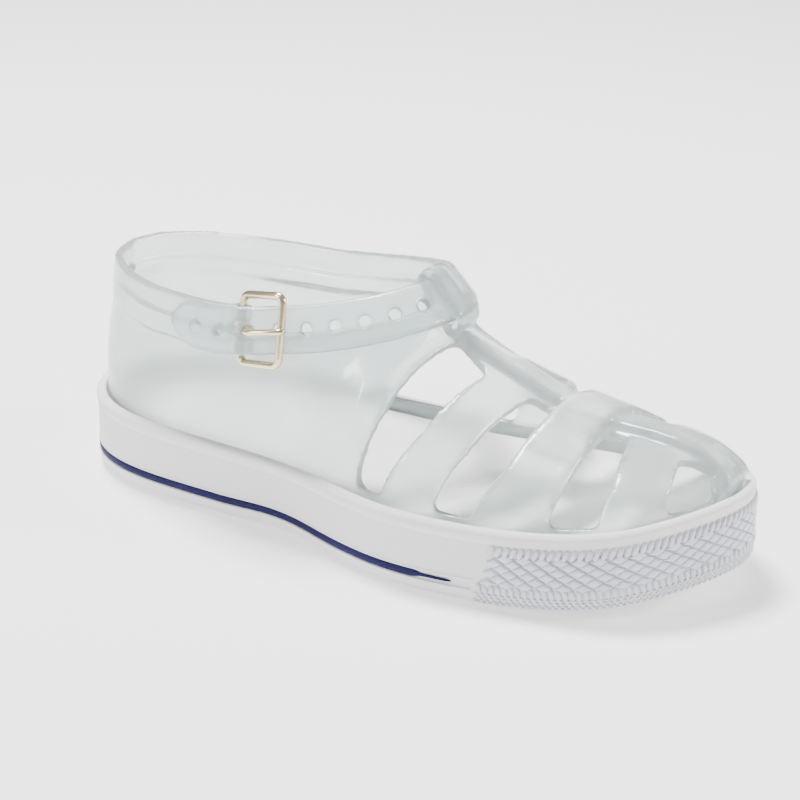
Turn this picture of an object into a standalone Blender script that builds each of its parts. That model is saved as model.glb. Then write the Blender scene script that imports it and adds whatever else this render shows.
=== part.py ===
# A child's jelly sandal for the right foot, standing empty on its sole.
# +X points to the toe, +Y to the inner side of the foot, +Z up.
# The origin is on the ground, under the middle of the shoe's box. Units are metres.

import math

import bmesh
import bpy
import numpy as np
from mathutils import Matrix, Vector

# Sole
SOLE_LENGTH = 0.178
BALL_WIDTH = 0.069
RIM_HEIGHT = 0.0185
HEEL_LIFT = 0.0015
TOE_SPRING = 0.0067
SPRING_START = 0.70
ARCH_START = 0.30
ARCH_END = 0.52
ARCH_RISE = 0.0012
RIM_WIDTH = 0.0018
CUP_INSET = 0.0030
CUP_DEPTH = 0.0053
RIB_PITCH = 0.0017
RIB_DEPTH = 0.0005
RIB_LEAN = 0.0009
BUMPER_STATION = 0.719
BUMPER_SLANT = 0.030
BUMPER_STEP = 0.0006
WALL_COLUMNS = 40
BUMPER_COLUMNS = 28
TREAD_DEPTH = 0.0014
TREAD_WIDTH = 0.0030
TREAD_BORDER = 0.0085

# Upper and its straps
WALL = 0.0022
GAP = 0.0003
SEAT_GAP = 0.0006
WELD = 0.00001
INSOLE_THICKNESS = 0.0030
FRONT_FULLNESS = 2.15
BAR_WIDTH = 0.0074
BAR_PROUD = 0.0021
SADDLE_PROUD = 0.0032
COLLAR_HEIGHT = 0.0573
KEEPER_OVER_BAR = 0.0063
INSTEP_RISE = COLLAR_HEIGHT - RIM_HEIGHT - KEEPER_OVER_BAR
STRAP_WIDTH = 0.0115
STRAP_THICKNESS = 0.0022
STRAP_HOLE = 0.0030
HOLE_PITCH = 0.0070
FIRST_HOLE = 0.0090
BUCKLED_HOLE = 6
SPARE_HOLES = 2
STRAP_TIP = 0.0080
KEEPER_WIDTH = 0.0084
KEEPER_WALL = 0.0020
KEEPER_CLEARANCE = 0.0004

# Buckle
BUCKLE_LENGTH = 0.0120
BUCKLE_HEIGHT = 0.0164
BUCKLE_WIRE = 0.0019
PRONG_WIRE = 0.0015
SLEEVE_WALL = 0.0012
PRONG_SLOT = 0.0030
PRONG_RUN = 0.0034

# Outline of the sole, heel to toe. Station is a share of the sole's length, the sides are
# shares of the ball's width.
OUTLINE = (
    # station, outer side, inner side
    (0.040, -0.240, 0.240),
    (0.130, -0.370, 0.370),
    (0.280, -0.400, 0.370),
    (0.440, -0.432, 0.375),
    (0.580, -0.515, 0.395),
    (0.700, -0.505, 0.450),
    (0.800, -0.455, 0.470),
    (0.890, -0.370, 0.425),
    (0.955, -0.200, 0.320),
)
TOE_TIP = 0.090

# Side of the sole, from the ground to the rim. Heights are shares of the rim's height, insets
# are shares of the ball's width. The bumper wraps the toe, the wall runs round the heel.
SIDE_ROWS = (
    # bumper height, bumper inset, wall height, wall inset, ribbed
    (0.000, 0.0460, 0.000, 0.0500, False),
    (0.035, 0.0215, 0.035, 0.0260, False),
    (0.100, 0.0075, 0.100, 0.0130, False),
    (0.175, 0.0010, 0.185, 0.0080, False),
    (0.190, 0.0000, 0.205, 0.0080, True),
    (0.310, 0.0000, 0.213, 0.0165, True),
    (0.330, 0.0045, 0.315, 0.0165, False),
    (0.500, 0.0050, 0.323, 0.0080, False),
    (0.690, 0.0060, 0.342, 0.0085, False),
    (0.705, 0.0025, 0.362, 0.0115, True),
    (0.810, 0.0035, 0.810, 0.0130, True),
    (0.830, 0.0120, 0.835, 0.0138, False),
    (0.870, 0.0085, 0.875, 0.0095, False),
    (0.950, 0.0075, 0.950, 0.0080, False),
    (1.000, 0.0165, 1.000, 0.0165, False),
)
STRIPE_ROWS = (5, 6)

# Where a hoop of the upper stands on each side and where it crosses the foot. Feet are shares
# of the half outline counted from the toe, stations shares of the sole's length, sides shares
# of the ball's width and rises shares of the instep's rise over the rim.
HOOPS = (
    # outer foot, inner foot, top station, top side, top rise
    (0.000, 0.000, 0.9790, 0.100, 0.028),
    (0.046, 0.040, 0.9690, 0.100, 0.100),
    (0.083, 0.065, 0.9480, 0.100, 0.214),
    (0.130, 0.101, 0.9160, 0.093, 0.321),
    (0.194, 0.163, 0.8460, 0.078, 0.418),
    (0.233, 0.200, 0.8130, 0.070, 0.451),
    (0.317, 0.282, 0.7380, 0.050, 0.574),
    (0.362, 0.328, 0.6980, 0.043, 0.668),
    (0.419, 0.390, 0.6400, 0.034, 0.810),
    (0.458, 0.430, 0.6080, 0.024, 0.908),
    (0.479, 0.459, 0.5900, 0.016, 0.975),
)

# The ankle loop that the collar and the strap follow, keeper to heel. Tilt is in degrees.
COLLAR = (
    # station, outer side, inner side, height, tilt, outer foot, inner foot
    (0.572, 0.012, 0.012, 1.000, 48.0, 0.485, 0.465),
    (0.568, -0.075, 0.095, 1.000, 48.5, 0.500, 0.485),
    (0.557, -0.150, 0.165, 0.996, 52.0, 0.520, 0.505),
    (0.534, -0.220, 0.230, 0.975, 60.0, 0.547, 0.535),
    (0.483, -0.295, 0.300, 0.935, 70.0, 0.585, 0.575),
    (0.427, -0.338, 0.335, 0.900, 77.0, 0.630, 0.620),
    (0.360, -0.360, 0.350, 0.870, 81.0, 0.680, 0.675),
    (0.290, -0.362, 0.352, 0.852, 83.0, 0.735, 0.730),
    (0.200, -0.335, 0.330, 0.850, 84.0, 0.800, 0.797),
    (0.110, -0.245, 0.245, 0.862, 84.0, 0.870, 0.868),
    (0.060, -0.125, 0.125, 0.872, 84.0, 0.935, 0.934),
    (0.046, 0.000, 0.000, 0.875, 84.0, 1.000, 1.000),
)
COLLAR_DROP = 0.0010
COLLAR_FLARE = 52.0
FLARE_ROWS = 3.0
# On the outer side the quarter lies under the strap, and it comes out to the band over these rows.
PROUD_ROW = 7.2
PROUD_ROWS = 1.6
PROUD_EDGE = WALL / 6

# Lines and steps of the upper's surface. Climbs crowd a little towards the rim.
HOOP_LINES = 16
COLLAR_LINES = 16
CLIMB_STEPS = 7
CLIMB_EASE = 0.9

# Openings between the straps, by six corners on the upper's own surface: feet count from the
# toe as above, and a climb runs from 0 at the rim to 1 at the top.
OPENINGS = (
    # side, low front, low back, middle front, middle back, top front, its climb, top back, its climb
    (-1, 0.040, 0.104, 0.048, 0.111, 0.070, 0.780, 0.124, 0.790),
    (-1, 0.189, 0.245, 0.185, 0.237, 0.199, 0.890, 0.235, 0.890),
    (-1, 0.332, 0.376, 0.309, 0.356, 0.309, 0.895, 0.346, 0.900),
    (-1, 0.446, 0.482, 0.413, 0.467, 0.404, 0.890, 0.463, 0.945),
    (1, 0.038, 0.080, 0.052, 0.087, 0.072, 0.750, 0.095, 0.745),
    (1, 0.152, 0.207, 0.154, 0.200, 0.170, 0.850, 0.196, 0.850),
    (1, 0.295, 0.339, 0.277, 0.322, 0.272, 0.850, 0.312, 0.865),
    (1, 0.412, 0.590, 0.388, 0.530, 0.372, 0.860, 0.465, 0.925),
)
OPENING_LOW = 0.020
OPENING_MIDDLE = 0.420
OPENING_IN = 1.6
OPENING_OUT = 2.2
CORNER = 0.0024
CORNER_STEPS = 2
EDGE_STEPS = 2

# The raised bar: it starts and ends so many hoops from the ends of their table. Towards the toe
# it gains a share of its width and loses a share of its height, from these hoops on.
BAR_START = 0.35
BAR_END = 0.70
FLARE_HOOP = 4.0
FLARE = 0.75
FADE_HOOP = 1.4
FADE = 0.80
BAR_RINGS = 18
BAR_SECTION = (
    # across as a share of the half width, height as a share of how proud the bar is
    (-1.00, 0.50), (-0.80, 0.85), (-0.35, 1.00), (0.35, 1.00), (0.80, 0.85), (1.00, 0.50),
)
BAR_SUNK = 0.80

# The middle strap's crossing: it rises over the bar from both sides.
SADDLE = (
    # side, climb, lift
    (-1, 0.50, -0.25), (-1, 0.60, 0.06), (-1, 0.72, 0.32), (-1, 0.82, 0.68), (-1, 0.91, 0.93),
    (-1, 1.00, 1.00),
    (1, 0.91, 0.93), (1, 0.82, 0.68), (1, 0.72, 0.32), (1, 0.60, 0.06), (1, 0.50, -0.25),
)
SADDLE_OPENINGS = {-1: (1, 2), 1: (5, 6)}
SADDLE_EDGE = 0.0015
SADDLE_ROUND = 0.06
SADDLE_EDGE_LIFT = 0.86
SADDLE_ROUND_LIFT = 0.97
SADDLE_SUNK = 0.75

# Bands, straps and wires: rings along them, sides round them, and their rounded edges as shares
# of the thickness.
BAND_RINGS = 30
STRAP_RINGS = 26
STRIPE_RINGS = 39
KEEPER_RINGS = 5
INSOLE_COLUMNS = 61
ROUND_SIDES = 14
HOLE_SIDES = 8
WIRE_SIDES = 1
CORNER_POINTS = 4
BAND_SOFT = 0.35
BAND_FLAT = 0.4
TIP_LEAST = 0.35
STRAP_CLIMB = 1.15
SLOT_SPAN = (2.0, 1.3)
STRIPE_ENDS = 0.699
STRIPE_POINT = 0.15
STRIPE_TAPER = 20

# The prong's way from the rear bar to the front bar: runs before the rear bar, then heights.
PRONG_RISES = (0.9, 1.1, 1.6)
PRONG_ROOT = 1.25
PRONG_NOSE = 0.8

TREAD = (
    # station of each groove across the sole
    0.075, 0.125, 0.175, 0.225, 0.555, 0.605, 0.655, 0.705, 0.755, 0.805, 0.855, 0.905,
)


def set_up():
    for item in list(bpy.data.objects):
        bpy.data.objects.remove(item, do_unlink=True)
    scene = bpy.context.scene
    parts = bpy.data.collections.new("jelly_sandal")
    cutters = bpy.data.collections.new("cutters")
    scene.collection.children.link(parts)
    scene.collection.children.link(cutters)
    return parts, cutters


PARTS, CUTTERS = set_up()


def closed_spline(points, count):
    """A periodic cubic through the points, with centripetal spacing."""
    p = np.array(points, float)
    n = len(p)
    h = np.sqrt(np.linalg.norm(np.roll(p, -1, 0) - p, axis=1))
    slope = (np.roll(p, -1, 0) - p) / h[:, None]
    before = np.roll(h, 1)
    matrix = np.zeros((n, n))
    for i in range(n):
        matrix[i, i - 1] += before[i]
        matrix[i, i] += 2 * (before[i] + h[i])
        matrix[i, (i + 1) % n] += h[i]
    bend = np.linalg.solve(matrix, 6 * (slope - np.roll(slope, 1, 0)))
    knots = np.concatenate(([0.0], np.cumsum(h)))
    out = []
    for t in np.linspace(0, knots[-1], count, endpoint=False):
        i = min(int(np.searchsorted(knots, t, side="right")) - 1, n - 1)
        j = (i + 1) % n
        a, b = (knots[i + 1] - t) / h[i], (t - knots[i]) / h[i]
        lift = ((a ** 3 - a) * bend[i] + (b ** 3 - b) * bend[j]) * h[i] ** 2 / 6
        out.append(a * p[i] + b * p[j] + lift)
    return np.array(out)


def smooth_columns(rows, samples):
    """Read every column of a table between its rows, without overshoot."""
    table = np.array(rows, float)
    last = len(table) - 1
    step = np.diff(table, axis=0)
    slope = np.zeros_like(table)
    for i in range(1, last):
        same = step[i - 1] * step[i] > 0
        both = np.where(same, step[i - 1] + step[i], 1.0)
        slope[i] = np.where(same, 2 * step[i - 1] * step[i] / both, 0.0)
    slope[0], slope[last] = step[0], step[-1]
    out = []
    for s in np.clip(samples, 0, last):
        i = min(int(s), last - 1)
        u = s - i
        out.append((2 * u ** 3 - 3 * u ** 2 + 1) * table[i] + (u ** 3 - 2 * u ** 2 + u) * slope[i]
                   + (3 * u ** 2 - 2 * u ** 3) * table[i + 1] + (u ** 3 - u ** 2) * slope[i + 1])
    return np.array(out)


def unit(vector):
    v = np.array(vector, float)
    return v / np.linalg.norm(v)


class Outline:
    """The sole's outline, read by its share: 0 at the heel, 0.5 at the toe, outer side first."""

    def __init__(self):
        outer = [(s, o) for s, o, i in OUTLINE]
        inner = [(s, i) for s, o, i in reversed(OUTLINE)]
        loop = [(0.0, 0.0)] + outer + [(1.0, TOE_TIP)] + inner
        scaled = [(s * SOLE_LENGTH, w * BALL_WIDTH) for s, w in loop]
        points = closed_spline(scaled, 1440)
        points = np.vstack((points, points[:1]))
        along = np.gradient(points, axis=0)
        along[0] = along[-1] = along[0] + along[-1]
        along /= np.linalg.norm(along, axis=1)[:, None]
        toe = int(np.argmax(points[:, 0]))
        walk = np.concatenate(([0.0], np.cumsum(np.linalg.norm(np.diff(points, axis=0), axis=1))))
        self.share = np.where(np.arange(len(points)) <= toe, 0.5 * walk / walk[toe],
                              0.5 + 0.5 * (walk - walk[toe]) / (walk[-1] - walk[toe]))
        self.points = points
        self.normals = np.column_stack((along[:, 1], -along[:, 0]))
        self.toe = toe
        self.length = walk[-1]

    def at(self, share, inset):
        t = np.mod(share, 1.0)
        x = np.interp(t, self.share, self.points[:, 0] - self.normals[:, 0] * inset)
        y = np.interp(t, self.share, self.points[:, 1] - self.normals[:, 1] * inset)
        return np.array((x, y))

    def outer_share(self, x):
        return float(np.interp(x, self.points[:self.toe, 0], self.share[:self.toe]))

    def inner_share(self, x):
        back = slice(None, self.toe, -1)
        return float(np.interp(x, self.points[back, 0], self.share[back]))


EDGE = Outline()


def spring(x):
    """Rise of the toe over the ground."""
    return TOE_SPRING * np.clip((x / SOLE_LENGTH - SPRING_START) / (1 - SPRING_START), 0, 1) ** 2


def underside(x):
    """Height of the sole's underside: flat heel and ball, raised arch and toe."""
    s = np.clip((x / SOLE_LENGTH - ARCH_START) / (ARCH_END - ARCH_START), 0, 1)
    return spring(x) + ARCH_RISE * np.sin(math.pi * s) ** 2


def rim(x):
    """Height of the sole's rim."""
    return RIM_HEIGHT + HEEL_LIFT * np.clip(1 - 2 * x / SOLE_LENGTH, 0, 1) ** 2 + spring(x)


def cup_floor(x):
    return rim(x) - CUP_DEPTH


def add_object(name, mesh, collection=None):
    item = bpy.data.objects.new(name, mesh)
    (collection or PARTS).objects.link(item)
    return item


def mesh_from(name, points, faces, collection=None):
    """A closed mesh object with its faces turned outwards."""
    bm = bmesh.new()
    vertices = [bm.verts.new(tuple(map(float, p))) for p in points]
    for face in faces:
        if len(set(face)) > 2:
            bm.faces.new([vertices[i] for i in face])
    bmesh.ops.remove_doubles(bm, verts=bm.verts, dist=1e-6)
    bmesh.ops.dissolve_degenerate(bm, edges=bm.edges, dist=1e-7)
    bmesh.ops.recalc_face_normals(bm, faces=bm.faces)
    bmesh.ops.triangulate(bm, faces=bm.faces)
    mesh = bpy.data.meshes.new(name)
    bm.to_mesh(mesh)
    bm.free()
    return add_object(name, mesh, collection)


def apply_modifiers(item):
    """Replace an object's mesh by what its modifiers make of it."""
    bpy.context.view_layer.update()
    graph = bpy.context.evaluated_depsgraph_get()
    mesh = bpy.data.meshes.new_from_object(item.evaluated_get(graph))
    item.modifiers.clear()
    item.data = mesh
    return item


def combine(item, tools, operation):
    """Cut the tools from the item or join them to it one by one, and keep them as cutters."""
    for tool in tools:
        modifier = item.modifiers.new(operation.lower(), "BOOLEAN")
        modifier.operation = operation
        modifier.object = tool
        modifier.solver = "EXACT"
        tool.hide_render = True
        tool.display_type = "WIRE"
        apply_modifiers(item)
        bm = bmesh.new()
        bm.from_mesh(item.data)
        bmesh.ops.remove_doubles(bm, verts=bm.verts, dist=WELD)
        bmesh.ops.dissolve_degenerate(bm, edges=bm.edges, dist=WELD)
        bmesh.ops.triangulate(bm, faces=bm.faces)
        bm.to_mesh(item.data)
        bm.free()
    return item


def material(item, name, colour, roughness, metallic=0.0):
    finish = bpy.data.materials.new(name)
    finish.use_nodes = True
    shader = finish.node_tree.nodes["Principled BSDF"]
    shader.inputs["Base Color"].default_value = (*colour, 1.0)
    shader.inputs["Roughness"].default_value = roughness
    shader.inputs["Metallic"].default_value = metallic
    item.data.materials.clear()
    item.data.materials.append(finish)


def loft(name, rings, collection=None):
    """Closed solid through sections with equal counts, with a flat end at each side."""
    count = len(rings[0])
    points = [p for section in rings for p in section]
    faces = []
    for r in range(len(rings) - 1):
        for i in range(count):
            j = (i + 1) % count
            faces.append((r * count + i, r * count + j, (r + 1) * count + j, (r + 1) * count + i))
    faces.append(tuple(range(count)))
    faces.append(tuple(range((len(rings) - 1) * count, len(rings) * count)))
    return mesh_from(name, points, faces, collection)


def stitch(points, faces, low, high, keys_low, keys_high):
    """Join two rows of points whose counts may differ, marching by their keys."""
    start_low = len(points)
    start_high = start_low + len(low)
    points.extend(low)
    points.extend(high)
    i = j = 0
    while i < len(low) - 1 or j < len(high) - 1:
        next_low = keys_low[i + 1] if i < len(low) - 1 else math.inf
        next_high = keys_high[j + 1] if j < len(high) - 1 else math.inf
        if next_low <= next_high:
            faces.append((start_low + i, start_low + i + 1, start_high + j))
            i += 1
        else:
            faces.append((start_low + i, start_high + j + 1, start_high + j))
            j += 1


def cap(points, faces, ring):
    """Close a ring with straight lines from its outer to its inner side."""
    ring = ring[:-1]
    xs = np.array([p[0] for p in ring])
    heel, toe = int(np.argmin(xs)), int(np.argmax(xs))
    count = len(ring)
    outer = [ring[(heel + k) % count] for k in range((toe - heel) % count + 1)]
    inner = [ring[(heel - k) % count] for k in range((heel - toe) % count + 1)]
    stitch(points, faces, outer, inner, [p[0] for p in outer], [p[0] for p in inner])


def side_ring(height, inset, wall_height, wall_inset, ribbed, lean):
    """One row of the sole's side, with its keys: the wall zone is 0 to 1, the bumper 1 to 2."""
    slant = BUMPER_STATION + BUMPER_SLANT * height
    outer = EDGE.outer_share(slant * SOLE_LENGTH)
    inner = EDGE.inner_share(slant * SOLE_LENGTH)
    step = BUMPER_STEP / EDGE.length
    ring, keys = [], []
    for k, share in enumerate(np.linspace(inner + step - 1, outer - step, WALL_COLUMNS)):
        x, y = EDGE.at(share, wall_inset * BALL_WIDTH)
        ground = underside(x)
        ring.append(np.array((x, y, ground + wall_height * (rim(x) - ground))))
        keys.append(k / (WALL_COLUMNS - 1))
    ribs = round((inner - outer) * EDGE.length / RIB_PITCH)
    columns = 2 * ribs + 1 if ribbed else BUMPER_COLUMNS
    for k, share in enumerate(np.linspace(outer + step, inner - step, columns)):
        cut = RIB_DEPTH * (k % 2) if ribbed else 0.0
        shift = lean / EDGE.length if 0 < k < columns - 1 else 0.0
        turn = shift if share < 0.5 else -shift
        x, y = EDGE.at(share + turn, inset * BALL_WIDTH + cut)
        ground = underside(x)
        ring.append(np.array((x, y, ground + height * (rim(x) - ground))))
        keys.append(1.001 + k / (columns - 1))
    ring.append(ring[0])
    keys.append(2.002)
    return ring, keys


def make_sole():
    """The cup sole: flat tread, ribbed bumper, stepped wall, rim bead and a hollow cup."""
    rows = []
    for number, (height, inset, wall_height, wall_inset, ribbed) in enumerate(SIDE_ROWS):
        top_of_band = ribbed and not SIDE_ROWS[number + 1][4]
        lean = RIB_LEAN if top_of_band else 0.0
        rows.append(side_ring(height, inset, wall_height, wall_inset, ribbed, lean))
    lip = SIDE_ROWS[-1][1] + RIM_WIDTH / BALL_WIDTH
    for height, inset in ((1.0, lip), (1.0 - RIM_WIDTH / RIM_HEIGHT / 3, CUP_INSET / BALL_WIDTH)):
        rows.append(side_ring(height, inset, height, inset, False, 0.0))
    floor, keys = side_ring(1.0, CUP_INSET / BALL_WIDTH, 1.0, CUP_INSET / BALL_WIDTH, False, 0.0)
    floor = [np.array((p[0], p[1], cup_floor(p[0]))) for p in floor]
    rows.append((floor, keys))
    points, faces = [], []
    for (low, keys_low), (high, keys_high) in zip(rows, rows[1:]):
        stitch(points, faces, low, high, keys_low, keys_high)
    cap(points, faces, rows[0][0])
    cap(points, faces, rows[-1][0])
    sole = mesh_from("sole", points, faces)
    combine(sole, tread_cutters(), "DIFFERENCE")
    material(sole, "white_sole", (0.86, 0.86, 0.90), 0.45)
    return sole


def tread_cutters():
    """Straight grooves across heel and forefoot, cut up from the ground."""
    cutters = []
    for number, station in enumerate(TREAD):
        x = station * SOLE_LENGTH
        outer = EDGE.at(EDGE.outer_share(x), 0)[1] + TREAD_BORDER
        inner = EDGE.at(EDGE.inner_share(x), 0)[1] - TREAD_BORDER
        top = underside(x) + TREAD_DEPTH
        low = -TREAD_DEPTH
        half = TREAD_WIDTH / 2
        section = ((x - half, low), (x + half, low), (x + half, top), (x - half, top))
        rings = [[(a, y, z) for a, z in section] for y in (outer, inner)]
        cutters.append(loft(f"tread_cutter_{number}", rings, CUTTERS))
    return cutters


def make_insole():
    """The footbed that lies in the cup, inside the foot of the upper."""
    inset = CUP_INSET + SEAT_GAP + WALL + SEAT_GAP
    top = CUP_DEPTH - GAP - INSOLE_THICKNESS
    soft = INSOLE_THICKNESS / 4
    shares = np.linspace(0, 1, INSOLE_COLUMNS)
    keys = list(shares)
    rows = []
    for edge, drop in ((inset, CUP_DEPTH - GAP), (inset, top + soft), (inset + soft, top)):
        row = []
        for share in shares:
            x, y = EDGE.at(share, edge)
            row.append(np.array((x, y, rim(x) - drop)))
        row[-1] = row[0]
        rows.append(row)
    points, faces = [], []
    for low, high in zip(rows, rows[1:]):
        stitch(points, faces, low, high, keys, keys)
    cap(points, faces, rows[0])
    cap(points, faces, rows[-1])
    insole = mesh_from("insole", points, faces)
    material(insole, "off_white_footbed", (0.80, 0.81, 0.79), 0.6)
    return insole


def make_pinstripe():
    """The thin stripe that lies in the groove of the wall, from the bumper round the heel."""
    low, high = SIDE_ROWS[STRIPE_ROWS[0]], SIDE_ROWS[STRIPE_ROWS[1]]
    face = SIDE_ROWS[STRIPE_ROWS[0] - 1][3] * BALL_WIDTH
    back = low[3] * BALL_WIDTH - GAP
    ends = STRIPE_ENDS * SOLE_LENGTH
    outer, inner = EDGE.outer_share(ends), EDGE.inner_share(ends) - 1
    rings = []
    for share in np.linspace(inner, outer, STRIPE_RINGS):
        taper = min(1.0, STRIPE_POINT + STRIPE_TAPER * min(outer - share, share - inner))
        middle, half = (low[2] + high[2]) / 2, (high[2] - low[2]) / 2 * taper
        ring = []
        for height, inset, lift in ((middle - half, back, GAP), (middle - half, face, GAP),
                                    (middle + half, face, -GAP), (middle + half, back, -GAP)):
            x, y = EDGE.at(share, inset)
            ground = underside(x)
            ring.append((x, y, ground + height * (rim(x) - ground) + lift * taper))
        rings.append(ring)
    stripe = loft("pinstripe", rings)
    material(stripe, "navy_stripe", (0.03, 0.03, 0.18), 0.4)
    return stripe


HOOP_ROWS = len(HOOPS)


def collar_frame(sample, side):
    """Centre, outward normal and upward direction of the ankle loop at a row of its table."""
    step = 0.02
    row, ahead, behind = smooth_columns(COLLAR, (sample, sample + step, sample - step))

    def centre(values):
        half = values[1] if side < 0 else values[2]
        return np.array((values[0] * SOLE_LENGTH, half * BALL_WIDTH, values[3] * COLLAR_HEIGHT))

    here = centre(row)
    along = centre(ahead) - centre(behind)
    if sample < step:
        along = np.array((0.0, side, 0.0))
    if sample > len(COLLAR) - 1 - step:
        along = np.array((0.0, -side, 0.0))
    level = unit((along[0], along[1], 0.0))
    inward = np.array((-level[1], level[0], 0.0)) * side
    tilt = math.radians(row[4])
    up = math.cos(tilt) * inward + math.sin(tilt) * np.array((0.0, 0.0, 1.0))
    out = -math.sin(tilt) * inward + math.cos(tilt) * np.array((0.0, 0.0, 1.0))
    return here, out, up


def hoop_line(sample, side, depth=0.0):
    """Foot, top and flare of one line of the upper, at a depth under its outer face."""
    front = HOOP_ROWS - 1
    if front < sample < front + 2:
        ahead, behind = hoop_line(front, side, depth), hoop_line(front + 2, side, depth)
        u = (sample - front) / 2
        return tuple(a + (b - a) * u for a, b in zip(ahead, behind))
    if sample <= front:
        row = smooth_columns(HOOPS, (sample,))[0]
        share = row[0] if side < 0 else row[1]
        ahead, behind = (ridge(sample + step) for step in (-0.02, 0.02))
        lean = unit(behind - ahead)
        top = ridge(sample) - np.array((lean[2], 0.0, -lean[0])) * depth
        top[2] = max(top[2], rim(top[0]) + 0.0002)
        flare = 90.0
    else:
        back = sample - front - 1
        row = smooth_columns(COLLAR, (max(back, 0.0),))[0]
        share = row[5] if side < 0 else row[6]
        here, out, up = collar_frame(max(back, 0.0), side)
        sunk = STRAP_THICKNESS / 2 + GAP
        proud = np.clip((back - PROUD_ROW) / PROUD_ROWS, 0, 1) if side < 0 else 1.0
        top = here - out * (sunk - proud * (sunk - PROUD_EDGE) + depth) - up * COLLAR_DROP
        flare = 90.0 + (COLLAR_FLARE - 90.0) * float(np.clip(back / FLARE_ROWS, 0, 1))
    edge = 0.5 - 0.5 * share if side < 0 else 0.5 + 0.5 * share
    x, y = EDGE.at(edge, CUP_INSET + SEAT_GAP + depth)
    foot = np.array((x, y, rim(x)))
    if sample == 0 and depth > 0:
        top = foot
    return foot, top, flare


def ridge(sample):
    """The crest of the foot's upper where its two sides meet."""
    front = HOOP_ROWS - 1
    row = smooth_columns(HOOPS, (min(max(sample, 0.0), front),))[0]
    x = row[2] * SOLE_LENGTH
    crest = np.array((x, row[3] * BALL_WIDTH, rim(x) + row[4] * INSTEP_RISE))
    if sample > front:
        crest += (ridge(front) - ridge(front - 0.04)) * (sample - front) / 0.04
    if sample < 0:
        crest += (ridge(0) - ridge(0.04)) * -sample / 0.04
    return crest


def upper_point(sample, climb, side, depth=0.0):
    """A point of the upper's outer surface: climb is 0 at the rim and 1 at the top."""
    foot, top, flare = hoop_line(sample, side, depth)
    end = math.radians(flare)
    angle = end * max(climb, 0.0)
    power = 2 / FRONT_FULLNESS
    inwards = (1 - math.cos(angle) ** power) / (1 - math.cos(end) ** power)
    rise = (math.sin(angle) / math.sin(end)) ** power
    flat = foot[:2] + (top[:2] - foot[:2]) * inwards
    return np.array((flat[0], flat[1], foot[2] + (top[2] - foot[2]) * rise))


def upper_normal(sample, climb, side):
    step = 0.02
    low = min(max(climb - step, 0.0), 1 - 2 * step)
    first = min(max(sample - step, 0.0), HOOP_ROWS + len(COLLAR) - 1.0 - 2 * step)
    along = upper_point(first + 2 * step, climb, side) - upper_point(first, climb, side)
    across = upper_point(sample, low + 2 * step, side) - upper_point(sample, low, side)
    return unit(np.cross(along, across) * side)


def foot_shares(side):
    """Where each line of the upper stands, as shares of the half outline from the toe."""
    column = 0 if side < 0 else 1
    feet = [smooth_columns(HOOPS, (s,))[0][column] for s in SAMPLES if s <= HOOP_ROWS - 1]
    feet += [smooth_columns(COLLAR, (max(s - HOOP_ROWS, 0.0),))[0][5 + column]
             for s in SAMPLES if s > HOOP_ROWS - 1]
    return feet


SAMPLES = np.arange(0, HOOP_ROWS + len(COLLAR) - 0.99, 0.05)
FEET = {side: foot_shares(side) for side in (-1, 1)}


def sample_at(share, side):
    """The line of the upper whose foot stands at this share of the half outline."""
    return float(np.interp(share, FEET[side], SAMPLES))


def rounded_corners(corners, radii):
    """A flat polygon with short arcs at its corners and steps along its edges."""
    count = len(corners)
    turns = []
    for i in range(count):
        before, here, after = (np.array(corners[(i + k) % count]) for k in (-1, 0, 1))
        back, on = unit(before - here), unit(after - here)
        half = 0.5 * math.acos(float(np.clip(np.dot(back, on), -1, 1)))
        longest = 0.45 * min(np.linalg.norm(before - here), np.linalg.norm(after - here))
        reach = min(radii[i] / math.tan(half), longest)
        turns.append((here + back * reach, here, here + on * reach))
    out = []
    for i, (start, here, end) in enumerate(turns):
        steps = CORNER_STEPS if radii[i] else 0
        for k in range(steps + 1):
            u = k / max(steps, 1)
            out.append((1 - u) ** 2 * start + 2 * u * (1 - u) * here + u ** 2 * end)
        following = turns[(i + 1) % count][0]
        out += [end + (following - end) * k / EDGE_STEPS for k in range(1, EDGE_STEPS)]
    return out


def opening_corners(row):
    """The corners of an opening on the upper laid flat, with the radius of each."""
    run = EDGE.length / 2
    rise = INSTEP_RISE * 1.4
    low_front, low_back, middle_front, middle_back, top_front, front_climb, top_back, back_climb = row
    corners = ((low_front, OPENING_LOW), (low_back, OPENING_LOW), (middle_back, OPENING_MIDDLE),
               (top_back, back_climb), (top_front, front_climb), (middle_front, OPENING_MIDDLE))
    radii = (CORNER, CORNER, 0.0, CORNER, CORNER, 0.0)
    flat = rounded_corners([(share * run, climb * rise) for share, climb in corners], radii)
    return [(a / run, b / rise) for a, b in flat]


def opening_cutter(number, row):
    """A plug over one opening: its outline follows the surface, through the wall and beyond."""
    side = row[0]
    places = [(sample_at(share, side), climb) for share, climb in opening_corners(row[1:])]
    middle = tuple(np.mean(np.array(places), axis=0))
    points = []
    for depth in (-OPENING_OUT * WALL, OPENING_IN * WALL):
        for sample, climb in places + [middle]:
            points.append(upper_point(sample, climb, side, depth))
    count = len(places)
    faces = []
    for i in range(count):
        j = (i + 1) % count
        faces.append((i, j, count + 1 + j, count + 1 + i))
        faces.append((i, j, count))
        faces.append((count + 1 + i, count + 1 + j, 2 * count + 1))
    return mesh_from(f"opening_cutter_{number}", points, faces, CUTTERS)


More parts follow.
